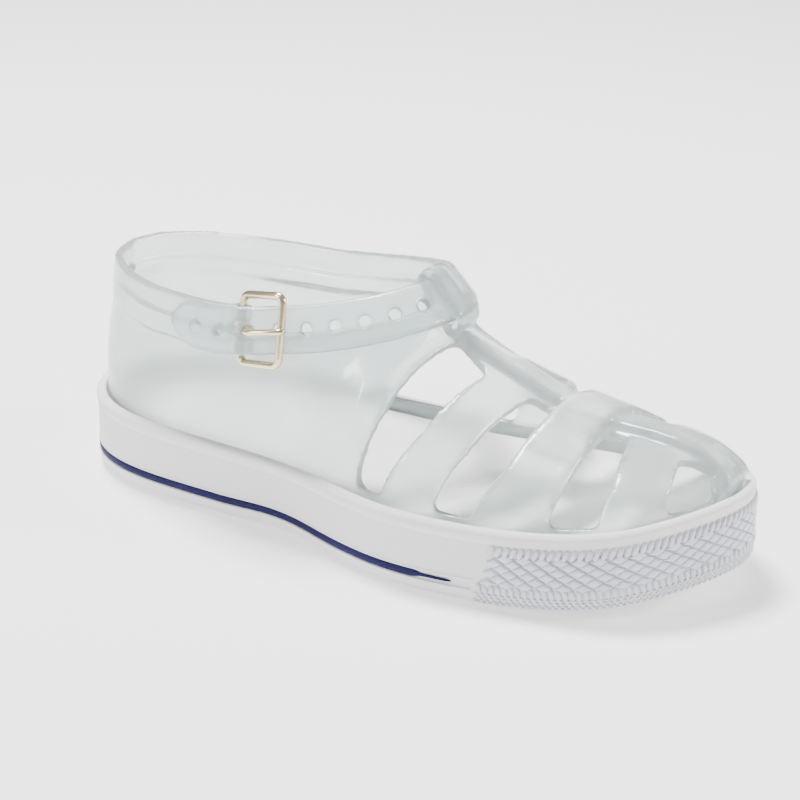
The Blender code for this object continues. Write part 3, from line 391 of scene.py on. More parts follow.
# Each finish by its colours between two shades, its gloss and the height of its waves.
finishes = {
    "clearPlastic": {
        "low": (0.87, 0.95, 0.943), "high": (0.94, 0.98, 0.972), "roughness": 0.24, "bump": 0.00010,
        # The edge shade tint is painted shade, a dark teal along the openings' edges.
        "edgeTint": (0.26, 0.47, 0.52), "Transmission_Weight": 0.78, "IOR": 1.42, "Coat_Weight": 0.40,
        "Coat_Roughness": 0.10,
    },
    "soleWhite": {
        "low": (0.62, 0.63, 0.70), "high": (0.675, 0.685, 0.755), "roughness": 0.40, "bump": 0.00004,
        "waves": 60.0, "Subsurface_Weight": 0.05, "Subsurface_Scale": 0.001,
    },
    "footbed": {
        "low": (0.88, 0.90, 0.875), "high": (0.93, 0.94, 0.92), "roughness": 0.60, "bump": 0.00006,
        "waves": 140.0,
    },
    "navyStripe": {
        "low": (0.006, 0.005, 0.045), "high": (0.010, 0.008, 0.065), "roughness": 0.60,
        "bump": 0.00003, "Specular_IOR_Level": 0.15,
    },
    "goldMetal": {
        "low": (0.78, 0.66, 0.40), "high": (0.84, 0.73, 0.48), "roughness": 0.22, "bump": 0.00002,
        "waves": 300.0, "Metallic": 1.0,
    },
}
clearPlastic, soleWhite, footbed, navyStripe, goldMetal = (
    finish(name, **values) for name, values in finishes.items())


# Repeats

# Set one shape many times along a guide line, standing on the line's face direction.
def makeRepeatGroup():
    group = bpy.data.node_groups.new("repeatAlong", "GeometryNodeTree")
    for label, kind in (("Guide", "NodeSocketGeometry"), ("Shape", "NodeSocketObject"),
                        ("Count", "NodeSocketInt"), ("Finish", "NodeSocketMaterial")):
        group.interface.new_socket(label, in_out="INPUT", socket_type=kind)
    group.interface.new_socket("Repeats", in_out="OUTPUT", socket_type="NodeSocketGeometry")
    given, made = group.nodes.new("NodeGroupInput"), group.nodes.new("NodeGroupOutput")
    line = group.nodes.new("GeometryNodeMeshToCurve")
    spaced = group.nodes.new("GeometryNodeResampleCurve")
    face = group.nodes.new("GeometryNodeInputNamedAttribute")
    face.data_type = "FLOAT_VECTOR"
    face.inputs["Name"].default_value = "face"
    tangent = group.nodes.new("GeometryNodeInputTangent")
    stand = group.nodes.new("FunctionNodeAlignRotationToVector")
    stand.axis = "Z"
    turn = group.nodes.new("FunctionNodeAlignRotationToVector")
    turn.axis, turn.pivot_axis = "X", "Z"
    shape = group.nodes.new("GeometryNodeObjectInfo")
    copies = group.nodes.new("GeometryNodeInstanceOnPoints")
    real = group.nodes.new("GeometryNodeRealizeInstances")
    painted = group.nodes.new("GeometryNodeSetMaterial")
    link = group.links.new
    link(given.outputs["Guide"], line.inputs["Mesh"])
    link(line.outputs["Curve"], spaced.inputs["Curve"])
    link(given.outputs["Count"], spaced.inputs["Count"])
    link(spaced.outputs["Curve"], copies.inputs["Points"])
    link(face.outputs["Attribute"], stand.inputs["Vector"])
    link(stand.outputs["Rotation"], turn.inputs["Rotation"])
    link(tangent.outputs["Tangent"], turn.inputs["Vector"])
    link(turn.outputs["Rotation"], copies.inputs["Rotation"])
    link(given.outputs["Shape"], shape.inputs["Object"])
    link(shape.outputs["Geometry"], copies.inputs["Instance"])
    link(copies.outputs["Instances"], real.inputs["Geometry"])
    link(real.outputs["Geometry"], painted.inputs["Geometry"])
    link(given.outputs["Finish"], painted.inputs["Material"])
    link(painted.outputs["Geometry"], made.inputs["Repeats"])
    return group


repeatGroup = makeRepeatGroup()


# One row of repeats along a guide line given by its points and outward directions.
def repeatAlong(name, points, faces, count, shape, material):
    mesh = bpy.data.meshes.new(name)
    steps = [(i, i + 1) for i in range(len(points) - 1)]
    mesh.from_pydata([tuple(p + shift) for p in points], steps, [])
    attribute = mesh.attributes.new("face", "FLOAT_VECTOR", "POINT")
    attribute.data.foreach_set("vector", np.array(faces, np.float32).ravel())
    item = placed(name, mesh)
    modifier = item.modifiers.new("repeats", "NODES")
    modifier.node_group = repeatGroup
    values = {"Shape": shape, "Count": count, "Finish": material}
    for socket in repeatGroup.interface.items_tree:
        if socket.in_out == "INPUT" and socket.name in values:
            modifier[socket.identifier] = values[socket.name]
    return applied(item)


# Several meshes as one object.
def joined(name, items):
    bm = bmesh.new()
    for item in items:
        bm.from_mesh(item.data)
        bpy.data.objects.remove(item, do_unlink=True)
    mesh = bpy.data.meshes.new(name)
    bm.to_mesh(mesh)
    bm.free()
    return placed(name, mesh)


# A rounded raised pad on a flat outline, a little sunk in what it stands on.
def pad(name, corners, height, lean=0.0):
    rings = ((1.0, -0.35), (0.96, 0.35), (0.84, 0.80), (0.55, 0.97))  # scale, share of the height
    points = []
    count = len(corners)
    for scale, lift in rings:
        points.extend((x * scale + lean * y * scale, y * scale, lift * height) for x, y in corners)
    points.append((0.0, 0.0, height))
    faces = ringFaces(len(rings), count)
    top = (len(rings) - 1) * count
    faces += [(top + i, top + (i + 1) % count, len(points) - 1) for i in range(count)]
    faces.append(tuple(reversed(range(count))))
    mesh = bpy.data.meshes.new(name)
    mesh.from_pydata(points, [], faces)
    return placed(name, mesh)


# Sole

# Side of the sole: bumper height and inset, then wall height and inset.
sideRows = (
    (0.000, 0.0460, 0.000, 0.0500), (0.035, 0.0215, 0.035, 0.0260),
    (0.100, 0.0095, 0.100, 0.0130), (0.175, 0.0070, 0.185, 0.0080),
    (0.190, 0.0087, 0.205, 0.0080), (0.310, 0.0095, 0.213, 0.0165),
    (0.330, 0.0105, 0.315, 0.0165), (0.500, 0.0110, 0.323, 0.0080),
    (0.690, 0.0120, 0.342, 0.0085), (0.705, 0.0117, 0.362, 0.0115),
    (0.810, 0.0122, 0.810, 0.0130), (0.830, 0.0122, 0.835, 0.0138),
    (0.870, 0.0085, 0.875, 0.0095), (0.950, 0.0075, 0.950, 0.0080),
    (1.000, 0.0165, 1.000, 0.0165),
)


# A side profile as heights and insets, each inner corner turned by a short arc.
def filleted(row):
    heights = [np.array((h * sole["rim"], i * sole["width"])) for h, i in row]
    out = [heights[0]]
    for before, here, after in zip(heights, heights[1:], heights[2:]):
        back = min(sole["fillet"], 0.45 * np.linalg.norm(before - here))
        on = min(sole["fillet"], 0.45 * np.linalg.norm(after - here))
        start, end = here + unit(before - here) * back, here + unit(after - here) * on
        out += [arcPoint(start, here, end, u) for u in (0.0, 0.33, 0.67, 1.0)]
    out.append(heights[-1])
    return np.array(out) / (sole["rim"], 1.0)


# Shares of the columns at one height: the wall zone first, then the bumper.
def sideShares(height):
    slant = (sole["bumper"] + sole["slant"] * height) * sole["length"]
    outerEnd, innerEnd = edge.outer(slant), edge.inner(slant)
    step = sole["step"] / edge.length
    wall = np.linspace(innerEnd + step - 1, outerEnd - step, sole["wallColumns"])
    bumper = np.linspace(outerEnd + step, innerEnd - step, sole["bumperColumns"])
    return wall, bumper


# A point of the sole's side: its height is a share of the way from the ground to the rim.
def sidePoint(share, height, inset):
    x, y = edge.at(share, inset)
    ground = undersideAt(x)
    return np.array((x, y, ground + height * (rimAt(x) - ground)))


def makeSole():
    bumperRow = filleted([(r[0], r[1]) for r in sideRows])
    wallRow = filleted([(r[2], r[3]) for r in sideRows])
    heights = np.unique(np.round(np.concatenate((bumperRow[:, 0], wallRow[:, 0])), 4))
    sides = [(h, np.interp(h, *bumperRow.T), np.interp(h, *wallRow.T)) for h in heights]
    lip = sideRows[-1][1] * sole["width"] + sole["rimWidth"]
    high, low = sole["lipHeights"]
    tail = [(1.0, lip - sole["lipSoft"]), (high, lip), (low, sole["cupInset"]), (None, sole["cupInset"])]
    rings = []
    for height, bumperInset, wallInset in sides + [(h, i, i) for h, i in tail]:
        level = 1.0 if height is None else height
        wall, bumper = sideShares(level)
        ring = [sidePoint(share, level, wallInset) for share in wall]
        ring += [sidePoint(share, level, bumperInset) for share in bumper]
        if height is None:
            ring = [(x, y, floorAt(x)) for x, y, z in ring]
        rings.append(ring)
    count = len(rings[0])
    points = [p for ring in rings for p in ring]
    faces = ringFaces(len(rings), count)
    for start in (0, (len(rings) - 1) * count):
        ring = points[start:start + count]
        xs = np.array([p[0] for p in ring])
        heel, toe = int(np.argmin(xs)), int(np.argmax(xs))
        outer = [start + (heel + k) % count for k in range((toe - heel) % count + 1)]
        inner = [start + (heel - k) % count for k in range((heel - toe) % count + 1)]
        i = j = 0
        while i < len(outer) - 1 or j < len(inner) - 1:
            nextOuter = points[outer[i + 1]][0] if i < len(outer) - 1 else math.inf
            nextInner = points[inner[j + 1]][0] if j < len(inner) - 1 else math.inf
            if nextOuter <= nextInner:
                faces.append((outer[i], outer[i + 1], inner[j]))
                i += 1
            else:
                faces.append((outer[i], inner[j + 1], inner[j]))
                j += 1
    item = addMesh("soleBody", points, faces)
    grooves = []
    for number, station in enumerate(sole["tread"]):
        x = station * sole["length"]
        outer = edge.at(edge.outer(x), 0)[1] + sole["treadBorder"]
        inner = edge.at(edge.inner(x), 0)[1] - sole["treadBorder"]
        top, low, half = undersideAt(x) + sole["treadDepth"], -sole["treadDepth"], sole["treadWidth"] / 2
        section = ((x - half, low), (x + half, low), (x + half, top), (x - half, top))
        rings = [[(a, y, z) for a, z in section] for y in (outer, inner)]
        grooves.append(loft(f"groove{number}", rings, True))
    return combine(item, grooves, "DIFFERENCE")


# Repeated relief of the bumper. Size is along the sole, up its side and out of it.
relief = {
    "lowerRib": {
        "pitch": 0.00153, "size": (0.00058, 0.00260, 0.00072), "lean": -0.10, "height": 0.254,
        "inset": 0.0095,
    },
    "upperRib": {
        "pitch": 0.00169, "size": (0.00066, 0.00270, 0.00082), "lean": 0.42, "height": 0.762,
        "inset": 0.0121,
    },
    "diamond": {
        "pitch": 0.00425, "size": (0.00408, 0.00246, 0.00074), "rows": 6, "low": 0.337,
        "high": 0.682, "inset": 0.0117, "phase": 0.0016,
    },
    "knurl": {
        "pitch": 0.00150, "size": (0.00108, 0.00088, 0.00042),
        # height, inset, how far the row faces down
        "rows": ((0.172, 0.0078, 0.0), (0.132, 0.0088, -0.15), (0.092, 0.0108, -0.45),
                 (0.060, 0.0165, -1.0)),
    },
    "margin": 0.0012, "guidePoints": 400,
}


# A line along the bumper at one height, with the sole's outward directions.
def guideLine(height, inset, phase=0.0):
    shares = sideShares(height)[1]
    margin = (relief["margin"] + phase) / edge.length
    shares = np.linspace(shares[0] + margin, shares[-1] - margin, relief["guidePoints"])
    points = [sidePoint(share, height, inset * sole["width"]) for share in shares]
    faces = [edge.outward(share) for share in shares]
    run = float(np.sum(np.linalg.norm(np.diff(np.array(points), axis=0), axis=1)))
    return points, faces, run


# Ribs, diamonds and knurling of the bumper.
def makeRelief():
    rows, shapes = [], []
    angles = np.radians(np.arange(0, 360, 30))

    def addShape(name, corners, lean=0.0):
        shapes.append(pad(name, corners, relief[name]["size"][2], lean))

    def addRow(name, part, height, inset, phase=0.0, down=0.0):
        points, faces, run = guideLine(height, inset, phase)
        if down:
            faces = [unit(face + np.array((0, 0, down))) for face in faces]
        count = round(run / part["pitch"]) + 1
        rows.append(repeatAlong(name, points, faces, count, shapes[-1], soleWhite))

    for name in ("lowerRib", "upperRib"):
        part = relief[name]
        wide, tall = part["size"][:2]
        ends = [math.copysign(abs(math.sin(a)) ** 0.6, math.sin(a)) * tall / 2 for a in angles]
        addShape(name, [(math.cos(a) * wide, end) for a, end in zip(angles, ends)], part["lean"])
        addRow(name + "Row", part, part["height"], part["inset"])
    part = relief["diamond"]
    wide, tall = part["size"][:2]
    near, low = wide * 0.43, tall * 0.06
    addShape("diamond", [(wide / 2, 0), (near, low), (0, tall / 2), (-near, low),
                         (-wide / 2, 0), (-near, -low), (0, -tall / 2), (near, -low)])
    for k, height in enumerate(np.linspace(part["low"], part["high"], part["rows"])):
        phase = part["phase"] + (part["pitch"] / 2 if k % 2 else 0.0)
        addRow(f"diamondRow{k}", part, height, part["inset"], phase)
    part = relief["knurl"]
    wide, tall = part["size"][:2]
    addShape("knurl", [(math.cos(a) * wide / 2, math.sin(a) * tall / 2) for a in angles[::2]])
    for k, (height, inset, down) in enumerate(part["rows"]):
        addRow(f"knurlRow{k}", part, height, inset, part["pitch"] / 2 if k % 2 else 0.0, down)
    for shape in shapes:
        bpy.data.objects.remove(shape, do_unlink=True)
    return joined("bumperRelief", rows)


print("stage sole", flush=True)
soleBody = makeSole()
# Known fault: the grooves' cut leaves an empty slot ahead of this one, so the wall shows plain.
soleBody.data.materials.append(soleWhite)
keep(soleBody, "sole_white", "sole")
bumperRelief = makeRelief()
keep(dressed(bumperRelief, soleWhite), "sole_white", "sole")


# Insole and stripe

insole = {"thickness": 0.0030, "columns": 360, "inner": (0.0035, 0.0075)}


def makeInsole():
    inset = sole["cupInset"] + fit["seat"] * 2 + fit["wall"]
    top = sole["cupDepth"] - fit["gap"] - insole["thickness"]
    soft = insole["thickness"] / 4
    rings = []
    profile = ((inset, sole["cupDepth"] - fit["gap"]), (inset, top + soft),
               (inset + soft * 0.3, top + soft * 0.3), (inset + soft, top),
               *((inset + inner, top) for inner in insole["inner"]))
    for inward, drop in profile:
        ring = []
        for share in np.linspace(0, 1, insole["columns"], endpoint=False):
            x, y = edge.at(share, inward)
            ring.append((x, y, rimAt(x) - drop))
        rings.append(ring)
    count = insole["columns"]
    points = [p for ring in rings for p in ring]
    faces = ringFaces(len(rings), count)
    for start in (0, (len(rings) - 1) * count):
        for k in range(count // 2 - 1):
            a, b = start + k, start + (count - k) % count
            c, d = start + k + 1, start + (count - k - 1) % count
            faces.append((a, c, d, b) if k else (a, c, d))
        faces.append((start + count // 2 - 1, start + count // 2, start + count // 2 + 1))
    return addMesh("footbedSkin", points, faces)


stripe = {
    "rows": (5, 6), "end": 0.699, "columns": 420, "soft": 0.0002, "sunk": 0.0001,
    # width as a share of the groove, by the run from the stripe's end
    "run": (0.0, 0.0012, 0.0075, 0.0085, 0.010), "taper": (0.08, 0.34, 0.42, 0.75, 1.0),
}


def makeStripe():
    low, high = sideRows[stripe["rows"][0]], sideRows[stripe["rows"][1]]
    front = sideRows[stripe["rows"][0] - 1][3] * sole["width"] + stripe["sunk"]
    back = low[3] * sole["width"] - stripe["sunk"]
    x = stripe["end"] * sole["length"]
    outer, inner = edge.outer(x), edge.inner(x) - 1
    rings = []
    for share in np.linspace(inner, outer, stripe["columns"]):
        left = min(outer - share, share - inner) * edge.length
        taper = float(np.interp(left, stripe["run"], stripe["taper"]))
        middle, half = (low[2] + high[2]) / 2, (high[2] - low[2]) / 2 * taper
        corner = front + stripe["soft"]
        section = ((-1, back), (-1, corner), (-0.7, front), (0.7, front), (1, corner), (1, back))
        rings.append([sidePoint(share, middle + half * rise, inset) for rise, inset in section])
    return loft("sideStripe", rings)


print("stage insole and stripe", flush=True)
footbedSkin = makeInsole()
keep(dressed(footbedSkin, footbed), "footbed", "insole")
sideStripe = makeStripe()
keep(dressed(sideStripe, navyStripe), "stripe_navy", "pinstripe")


# Upper

# Arc is the way over the foot for one climb, in instep rises, and plug is how far an opening's
# cutter reaches out and in, in walls.
upper = {
    "fullness": 2.15, "hoops": 64, "collar": 60, "climbs": 26, "voxel": 0.00064, "smooth": 10,
    "overRim": 0.0002, "corner": 0.0024, "low": 0.020, "middle": 0.420, "bend": 0.012,
    "arc": 1.4, "cornerPoints": 8, "edgeStep": 0.0012, "plug": (-2.2, 1.6),
}
# Hoops of the foot: outer and inner foot as shares of the half outline from the toe, the top's
# station and side, and its rise as a share of the instep's.
hoops = (
    (0.000, 0.000, 0.9790, 0.100, 0.028), (0.046, 0.040, 0.9690, 0.100, 0.100),
    (0.083, 0.065, 0.9480, 0.100, 0.214), (0.130, 0.101, 0.9160, 0.093, 0.321),
    (0.194, 0.163, 0.8460, 0.078, 0.418), (0.233, 0.200, 0.8130, 0.070, 0.451),
    (0.317, 0.282, 0.7380, 0.050, 0.574), (0.362, 0.328, 0.6980, 0.043, 0.668),
    (0.419, 0.390, 0.6400, 0.034, 0.810), (0.458, 0.430, 0.6080, 0.024, 0.908),
    (0.479, 0.459, 0.5900, 0.016, 0.975),
)
# Ankle loop, keeper to heel: station, outer and inner side, height, tilt, outer and inner foot.
collar = (
    (0.572, 0.012, 0.012, 1.000, 48.0, 0.485, 0.465), (0.568, -0.075, 0.095, 1.000, 48.5, 0.500, 0.485),
    (0.557, -0.150, 0.165, 0.996, 52.0, 0.520, 0.505), (0.534, -0.220, 0.230, 0.975, 60.0, 0.547, 0.535),
    (0.483, -0.295, 0.300, 0.935, 70.0, 0.585, 0.575), (0.427, -0.338, 0.335, 0.900, 77.0, 0.630, 0.620),
    (0.360, -0.360, 0.350, 0.870, 81.0, 0.680, 0.675), (0.290, -0.362, 0.352, 0.852, 83.0, 0.735, 0.730),
    (0.200, -0.335, 0.330, 0.850, 84.0, 0.800, 0.797), (0.110, -0.245, 0.245, 0.862, 84.0, 0.870, 0.868),
    (0.060, -0.125, 0.125, 0.872, 84.0, 0.935, 0.934), (0.046, 0.000, 0.000, 0.875, 84.0, 1.000, 1.000),
)
# The outer quarter lies under the strap and comes out to the band over the rows named proud.
loopShape = {
    "height": 0.0573, "overBar": 0.0063, "drop": 0.0010, "flare": 52.0, "flareRows": 3.0,
    "proudRow": 7.2, "proudRows": 1.6,
}
instepRise = loopShape["height"] - sole["rim"] - loopShape["overBar"]
hoopCount = len(hoops)


# The crest of the foot's upper where its two sides meet.
def ridge(sample):
    front, step = hoopCount - 1, 0.04
    row = readTable(hoops, min(max(sample, 0.0), front))
    x = row[2] * sole["length"]
    crest = np.array((x, row[3] * sole["width"], rimAt(x) + row[4] * instepRise))
    if sample > front:
        crest += (ridge(front) - ridge(front - step)) * (sample - front) / step
    if sample < 0:
        crest += (ridge(0) - ridge(step)) * -sample / step
    return crest


# Centre, outward normal and upward direction of the ankle loop at a row of its table.
def collarFrame(sample, side):
    step = 0.02
    row, ahead, behind = (readTable(collar, s) for s in (sample, sample + step, sample - step))

    def centre(values):
        half = values[1] if side < 0 else values[2]
        return np.array((values[0] * sole["length"], half * sole["width"], values[3] * loopShape["height"]))

    along = centre(ahead) - centre(behind)
    if sample < step:
        along = np.array((0.0, side, 0.0))
    if sample > len(collar) - 1 - step:
        along = np.array((0.0, -side, 0.0))
    level = unit((along[0], along[1], 0.0))
    inward = np.array((-level[1], level[0], 0.0)) * side
    tilt = math.radians(row[4])
    rise = math.cos(tilt) * inward + math.sin(tilt) * np.array((0.0, 0.0, 1.0))
    out = -math.sin(tilt) * inward + math.cos(tilt) * np.array((0.0, 0.0, 1.0))
    return centre(row), out, rise


# Foot, top and flare of one line of the upper, at a depth under its outer face.
def hoopLine(sample, side, depth=0.0):
    front = hoopCount - 1
    if front < sample < front + 2:
        ahead, behind = hoopLine(front, side, depth), hoopLine(front + 2, side, depth)
        u = (sample - front) / 2
        return tuple(a + (b - a) * u for a, b in zip(ahead, behind))
    if sample <= front:
        row = readTable(hoops, sample)
        share = row[0] if side < 0 else row[1]
        lean = unit(ridge(sample + 0.02) - ridge(sample - 0.02))
        top = ridge(sample) - np.array((lean[2], 0.0, -lean[0])) * depth
        top[2] = max(top[2], rimAt(top[0]) + upper["overRim"])
        flare = 90.0
    else:
        back = sample - front - 1
        row = readTable(collar, back)
        share = row[5] if side < 0 else row[6]
        here, out, rise = collarFrame(back, side)
        sunk = strap["thickness"] / 2 + fit["gap"]
        proud = 1.0
        if side < 0:
            proud = np.clip((back - loopShape["proudRow"]) / loopShape["proudRows"], 0, 1)
        top = here - out * (sunk - proud * (sunk - fit["wall"] / 6) + depth) - rise * loopShape["drop"]
        spread = float(np.clip(back / loopShape["flareRows"], 0, 1))
        flare = 90.0 + (loopShape["flare"] - 90.0) * spread
    place = 0.5 - 0.5 * share if side < 0 else 0.5 + 0.5 * share
    x, y = edge.at(place, sole["cupInset"] + fit["seat"] + depth)
    foot = np.array((x, y, rimAt(x)))
    if sample == 0 and depth > 0:
        top = foot
    return foot, top, flare


# A point of the upper: climb is 0 at the rim and 1 at the top.
def upperPoint(sample, climb, side, depth=0.0):
    foot, top, flare = hoopLine(sample, side, depth)
    end = math.radians(flare)
    angle = end * max(climb, 0.0)
    power = 2 / upper["fullness"]
    inwards = (1 - math.cos(angle) ** power) / (1 - math.cos(end) ** power)
    rise = (math.sin(angle) / math.sin(end)) ** power
    flat = foot[:2] + (top[:2] - foot[:2]) * inwards
    return np.array((flat[0], flat[1], foot[2] + (top[2] - foot[2]) * rise))


def upperNormal(sample, climb, side):
    step = 0.02
    low = min(max(climb - step, 0.0), 1 - 2 * step)
    first = min(max(sample - step, 0.0), hoopCount + len(collar) - 1.0 - 2 * step)
    along = upperPoint(first + 2 * step, climb, side) - upperPoint(first, climb, side)
    across = upperPoint(sample, low + 2 * step, side) - upperPoint(sample, low, side)
    return unit(np.cross(along, across) * side)


# Where a line of the upper has its foot, as a share of the half outline from the toe.
def footShare(sample, side):
    if sample <= hoopCount - 1:
        return readTable(hoops, sample)[0 if side < 0 else 1]
    return readTable(collar, max(sample - hoopCount, 0.0))[5 if side < 0 else 6]


samples = np.arange(0, hoopCount + len(collar) - 0.99, 0.05)
feet = {side: [footShare(sample, side) for sample in samples] for side in (-1, 1)}


# The line of the upper that has its foot at a share.
def sampleAt(share, side):
    return float(np.interp(share, feet[side], samples))


# The closed shape of the foot's last, at a depth under the upper's outer face.
def last(name, depth, low, high, cutter):
    lines = list(np.linspace(0, hoopCount - 1, upper["hoops"]))
    lines += [hoopCount + back for back in np.linspace(0.0, len(collar) - 1, upper["collar"])[1:]]
    climbs = np.linspace(0, 1, upper["climbs"]) ** 0.9
    rows = len(climbs) + 2
    points, faces = [], []
    for side in (-1, 1):
        for sample in lines:
            line = [upperPoint(sample, climb, side, depth) for climb in climbs]
            bottom = np.array((line[0][0], line[0][1], floorAt(line[0][0]) + low))
            crown = line[-1]
            if sample > hoopCount:
                crown = crown + collarFrame(sample - hoopCount, side)[2] * high
            points.extend([bottom] + line + [crown])
    count = len(lines)
    for i in range(count - 1):
        for half in (0, 1):
            for j in range(rows - 1):
                a = (half * count + i) * rows + j
                faces.append((a, a + rows, a + rows + 1, a + 1))
        for j in (0, rows - 1):
            a, b = i * rows + j, (count + i) * rows + j
            faces.append((a, a + rows, b + rows, b))
    return addMesh(name, points, faces, True)


# Openings by six corners: side, low front and back foot, middle front and back foot, then the
# top front foot and its climb and the top back foot and its climb.
openings = (
    (-1, 0.040, 0.104, 0.048, 0.111, 0.070, 0.780, 0.124, 0.790),
    (-1, 0.189, 0.245, 0.185, 0.237, 0.199, 0.890, 0.235, 0.890),
    (-1, 0.332, 0.376, 0.309, 0.356, 0.309, 0.895, 0.346, 0.900),
    (-1, 0.446, 0.482, 0.413, 0.467, 0.404, 0.890, 0.463, 0.945),
    (1, 0.038, 0.080, 0.052, 0.087, 0.072, 0.750, 0.095, 0.745),
    (1, 0.152, 0.207, 0.154, 0.200, 0.170, 0.850, 0.196, 0.850),
    (1, 0.295, 0.339, 0.277, 0.322, 0.272, 0.850, 0.312, 0.865),
    (1, 0.412, 0.590, 0.388, 0.530, 0.372, 0.860, 0.465, 0.925),
)


# A flat polygon with arcs at its corners and short steps along its edges.
def roundedCorners(corners, radii):
    count = len(corners)
    turns = []
    for i in range(count):
        before, here, after = (np.array(corners[(i + k) % count]) for k in (-1, 0, 1))
        back, on = unit(before - here), unit(after - here)
        half = 0.5 * math.acos(float(np.clip(np.dot(back, on), -1, 1)))
        longest = 0.45 * min(np.linalg.norm(before - here), np.linalg.norm(after - here))
        reach = min(radii[i] / math.tan(half), longest)
        turns.append((here + back * reach, here, here + on * reach))
    out = []
    for i, (start, here, end) in enumerate(turns):
        out += [arcPoint(start, here, end, u) for u in np.linspace(0, 1, upper["cornerPoints"])]
        following = turns[(i + 1) % count][0]
        steps = max(1, int(np.linalg.norm(following - end) / upper["edgeStep"]))
        out += [end + (following - end) * k / steps for k in range(1, steps)]
    return out


def openingCutter(number, row):
    side, lowFront, lowBack, middleFront, middleBack, topFront, frontClimb, topBack, backClimb = row
    run, rise = edge.length / 2, instepRise * upper["arc"]
    low, middle = upper["low"], upper["middle"]
    corners = ((lowFront, low), (lowBack, low), (middleBack, middle), (topBack, backClimb),
               (topFront, frontClimb), (middleFront, middle))
    corner, bend = upper["corner"], upper["bend"]
    flat = roundedCorners([(share * run, climb * rise) for share, climb in corners],
                          (corner, corner, bend, corner, corner, bend))
    places = [(sampleAt(a / run, side), b / rise) for a, b in flat]
    centre = tuple(np.mean(np.array(places), axis=0))
    count = len(places)
    points = [upperPoint(s, c, side, reach * fit["wall"]) for reach in upper["plug"]
              for s, c in places + [centre]]
    faces = []
    for i in range(count):
        j = (i + 1) % count
        low, high = count + 1 + i, count + 1 + j
        faces += [(i, j, high, low), (i, j, count), (low, high, 2 * count + 1)]
    return addMesh(f"opening{number}", points, faces, True)


# The raised bar. Start, end and the two hoops are counted in the hoops' rows, flare and fade are
# shares of its width and height at the toe.
bar = {
    "width": 0.0074, "proud": 0.0021, "start": 0.20, "end": 0.70,
    "flareHoop": 4.0, "flare": 0.75, "fadeHoop": 1.4, "fade": 0.80,
    "rings": 90, "across": 17, "side": 0.45, "sunk": 0.8,
}


# The raised bar along the middle of the foot, from the toe's rim to the keeper.
def makeBar():
    rings = []
    for sample in np.linspace(bar["start"], hoopCount - bar["end"], bar["rings"]):
        here = ridge(sample)
        rise = unit(np.cross((0, 1, 0), ridge(sample + 0.02) - ridge(sample - 0.02)))
        half = bar["width"] / 2 * (1 + bar["flare"] * max(0.0, 1 - sample / bar["flareHoop"]) ** 1.5)
        proud = bar["proud"] * (1 - bar["fade"] * max(0.0, 1 - sample / bar["fadeHoop"]) ** 2)
        ring = []
        for a in np.linspace(0, math.pi, bar["across"]):
            crown = bar["side"] + (1 - bar["side"]) * math.sin(a) ** 0.5
            ring.append(here + np.array((0, -math.cos(a) * half, 0)) + rise * proud * crown)
        ring += [here + np.array((0, side * half, 0)) - rise * bar["sunk"] * fit["wall"]
                 for side in (1, -1)]
        rings.append(ring)
    return loft("bar", rings, True)


# Foot share of an opening's front or back edge at a climb above its middle.
def shareBetween(row, climb, front):
    middle, top, topClimb = (row[3], row[5], row[6]) if front else (row[4], row[7], row[8])
    return middle + (top - middle) * (climb - upper["middle"]) / (topClimb - upper["middle"])


# The middle strap's crossing over the bar: side, climb, lift.
saddle = (
    (-1, 0.50, -0.25), (-1, 0.60, 0.06), (-1, 0.72, 0.32), (-1, 0.82, 0.68), (-1, 0.91, 0.93),
    (-1, 1.00, 1.00), (1, 0.91, 0.93), (1, 0.82, 0.68), (1, 0.72, 0.32), (1, 0.60, 0.06),
    (1, 0.50, -0.25),
)
# How proud the crossing is, its margin to the openings, and its section's steps and lifts.
crossing = {
    "proud": 0.0032, "edge": 0.0015, "round": 0.06, "rings": 45,
    "edgeLift": 0.86, "roundLift": 0.97, "sunk": 0.75,
}


# The middle strap's raised crossing over the bar.
def makeSaddle():
    spots = np.linspace(-0.5, 0.5, crossing["rings"])
    across = [side * (1 - climb) for side, climb, lift in saddle]
    lifts = np.interp(spots, across, [row[2] for row in saddle])
    rings = []
    for spot, lift in zip(spots, lifts):
        side, climb = (-1 if spot <= 0 else 1), 1.0 - abs(spot)
        ahead, behind = (openings[k] for k in ((1, 2) if side < 0 else (5, 6)))
        front = shareBetween(ahead, climb, False) + crossing["edge"]
        back = shareBetween(behind, climb, True) - crossing["edge"]
        inset = crossing["round"] * (back - front)
        low, high = crossing["edgeLift"], crossing["roundLift"]
        section = ((front, low), (front + inset, high), (front + 3 * inset, 1.0),
                   (back - 3 * inset, 1.0), (back - inset, high), (back, low))
        ring = []
        for share, height in section:
            sample = sampleAt(share, side)
            ring.append(upperPoint(sample, climb, side)
                        + upperNormal(sample, climb, side) * height * lift * crossing["proud"])
        for share in (back, front):
            sample = sampleAt(share, side)
            ring.append(upperPoint(sample, climb, side)
                        - upperNormal(sample, climb, side) * crossing["sunk"] * fit["wall"])
        rings.append(ring)
    return loft("saddle", rings, True)


strap = {
    "width": 0.0115, "thickness": 0.0022, "hole": 0.0030, "pitch": 0.0070, "first": 0.0090,
    "buckled": 6, "spare": 2, "tip": 0.0080, "tipLeast": 0.35, "voxel": 0.00045, "smooth": 3,
    "keeperWidth": 0.0084, "keeperWall": 0.0020, "clearance": 0.0004,
    "rings": 160, "bandRings": 150, "keeperRings": 15, "soft": 0.35, "flat": 0.4, "climb": 1.15,
}
